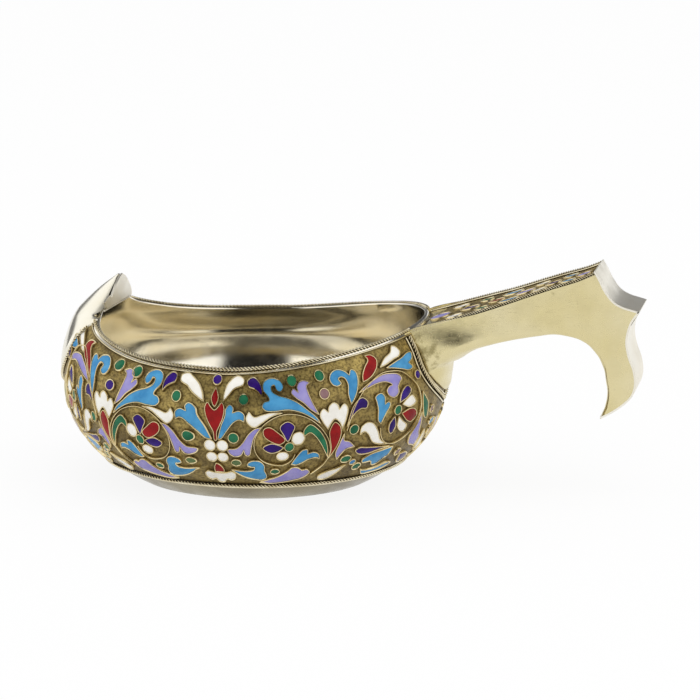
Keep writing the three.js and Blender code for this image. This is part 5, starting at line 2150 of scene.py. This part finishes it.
@dataclass(frozen=True)
class Studio:
    """A white table in a bright room that is darker behind the camera."""

    surround: float = 0.95
    screen: float = 1.2
    dark: float = 0.12
    shade: float = 0.85
    right_screen: Bound = ("X", 0.5, 1.1, 0.06)
    left_screen: Bound = ("X", -1.1, -0.24, 0.1)
    far_left_screen: Bound = ("X", -1.1, -0.45, 0.1)
    before_back: Bound = ("Y", -1.1, 0.24, 0.12)
    under_top: Bound = ("Z", -1.1, 0.7, 0.14)
    low_wall: Bound = ("Z", -1.1, 0.02, 0.1)
    back_wall: tuple[Bound, ...] = (("Y", 0.3, 1.1, 0.2), ("Z", -1.1, 0.1, 0.14))
    camera_shade: tuple[Bound, ...] = (
        ("X", -0.14, 0.42, 0.08),
        ("Y", -1.1, -0.4, 0.15),
        ("Z", 0.1, 0.8, 0.1),
    )
    corner_shade: tuple[Bound, ...] = (
        ("X", -1.05, -0.15, 0.1),
        ("Y", 0.4, 1.1, 0.1),
        ("Z", -0.36, 0.2, 0.08),
    )
    table_half: float = 3000
    table_white: float = 0.9
    table_glow: float = 0.88
    lamp: float = 1.2
    lamp_size: Span = (900, 600)
    lamp_place: tuple[float, float, float] = (100, -100, 800)

    def build(self) -> None:
        """Build the table, the surrounding light and the lamp over the table."""
        self.table()
        self.world()
        self.overhead()

    def table(self) -> None:
        """Lay the table, white wherever it is seen or mirrored, with the kovsh's own shadow."""
        mesh = bpy.data.meshes.new("table")
        wide = self.table_half * METRE
        corners = [(-wide, -wide, 0), (wide, -wide, 0), (wide, wide, 0), (-wide, wide, 0)]
        mesh.from_pydata(corners, [], [(0, 1, 2, 3)])
        made = bpy.data.objects.new("table", mesh)
        bpy.context.scene.collection.objects.link(made)
        material = bpy.data.materials.new("white_table")
        material.use_nodes = True
        nodes = Tree(material.node_tree)
        nodes.tree.nodes.clear()
        paper = nodes.add("ShaderNodeBsdfDiffuse")
        paper.inputs["Color"].default_value = (self.table_white, self.table_white, self.table_white, 1)
        glow = nodes.add("ShaderNodeEmission")
        ray = nodes.add("ShaderNodeLightPath").outputs
        seen = nodes.combined("ADD", ray["Is Camera Ray"], ray["Is Glossy Ray"])
        seen = nodes.combined("ADD", seen, ray["Is Transmission Ray"])
        share = nodes.combined("MULTIPLY", seen, self.table_glow)
        found = nodes.blended(share, paper.outputs["BSDF"], glow.outputs["Emission"])
        nodes.join(found, nodes.add("ShaderNodeOutputMaterial").inputs["Surface"])
        mesh.materials.append(material)
        made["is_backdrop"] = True

    def world(self) -> None:
        """Light the room: white to the camera, and by direction for what the metal mirrors."""
        room = Room("room")
        ray = room.add("ShaderNodeLightPath").outputs
        mirrored = room.light(self.mirrored(room))
        inside = room.blended(ray["Is Glossy Ray"], room.light(self.surround), mirrored)
        seen = room.blended(ray["Is Camera Ray"], inside, room.light())
        room.join(seen, room.add("ShaderNodeOutputWorld").inputs["Surface"])

    def mirrored(self, room: Room) -> Socket:
        """Give the strength of the room as the metal mirrors it.

        Args:
            room: The world's node tree.

        Returns:
            The strength: bright screens and walls, less the shades.
        """
        sides = room.joined("ADD", room.within(self.right_screen), room.within(self.left_screen))
        sides = room.joined("MULTIPLY", sides, room.within(self.before_back))
        sides = room.joined("ADD", sides, room.within(self.far_left_screen))
        sides = room.joined("MULTIPLY", sides, room.within(self.under_top))
        bright = room.joined("ADD", sides, room.within(self.low_wall), room.patch(self.back_wall))
        shades = room.joined("MAXIMUM", room.patch(self.camera_shade), room.patch(self.corner_shade))
        level = room.ranged(bright, (0, 1), (self.dark, self.screen))
        spared = room.ranged(shades, (0, 1), (1, 1 - self.shade))
        return room.combined("MULTIPLY", level, spared)

    def overhead(self) -> None:
        """Hang the wide soft lamp over the table."""
        lamp = bpy.data.lights.new("overhead", "AREA")
        lamp.shape = "RECTANGLE"
        lamp.size, lamp.size_y = (size * METRE for size in self.lamp_size)
        lamp.energy = self.lamp
        made = bpy.data.objects.new("overhead", lamp)
        made.location = Vector(self.lamp_place) * METRE
        bpy.context.scene.collection.objects.link(made)


def main() -> None:
    """Build the kovsh and its stage in order."""
    sizes = {"cad": [list(cad_low), list(cad_high)]}
    Bowl().build()
    Borders().build()
    Prow().build()
    handle = Handle()
    handle.build()
    EnamelBand().build()
    HandleEnamel(handle).build()
    bpy.context.view_layer.update()
    low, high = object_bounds()
    sizes["visual"] = [list(low), list(high)]
    log.info("CAD box %s, visual box %s", sizes["cad"], sizes["visual"])
    Studio().build()
    Viewpoint().build()
    bpy.context.scene.view_settings.view_transform = "Standard"


if __name__ == "__main__":
    logging.basicConfig(level=logging.INFO, format="%(message)s")
    main()
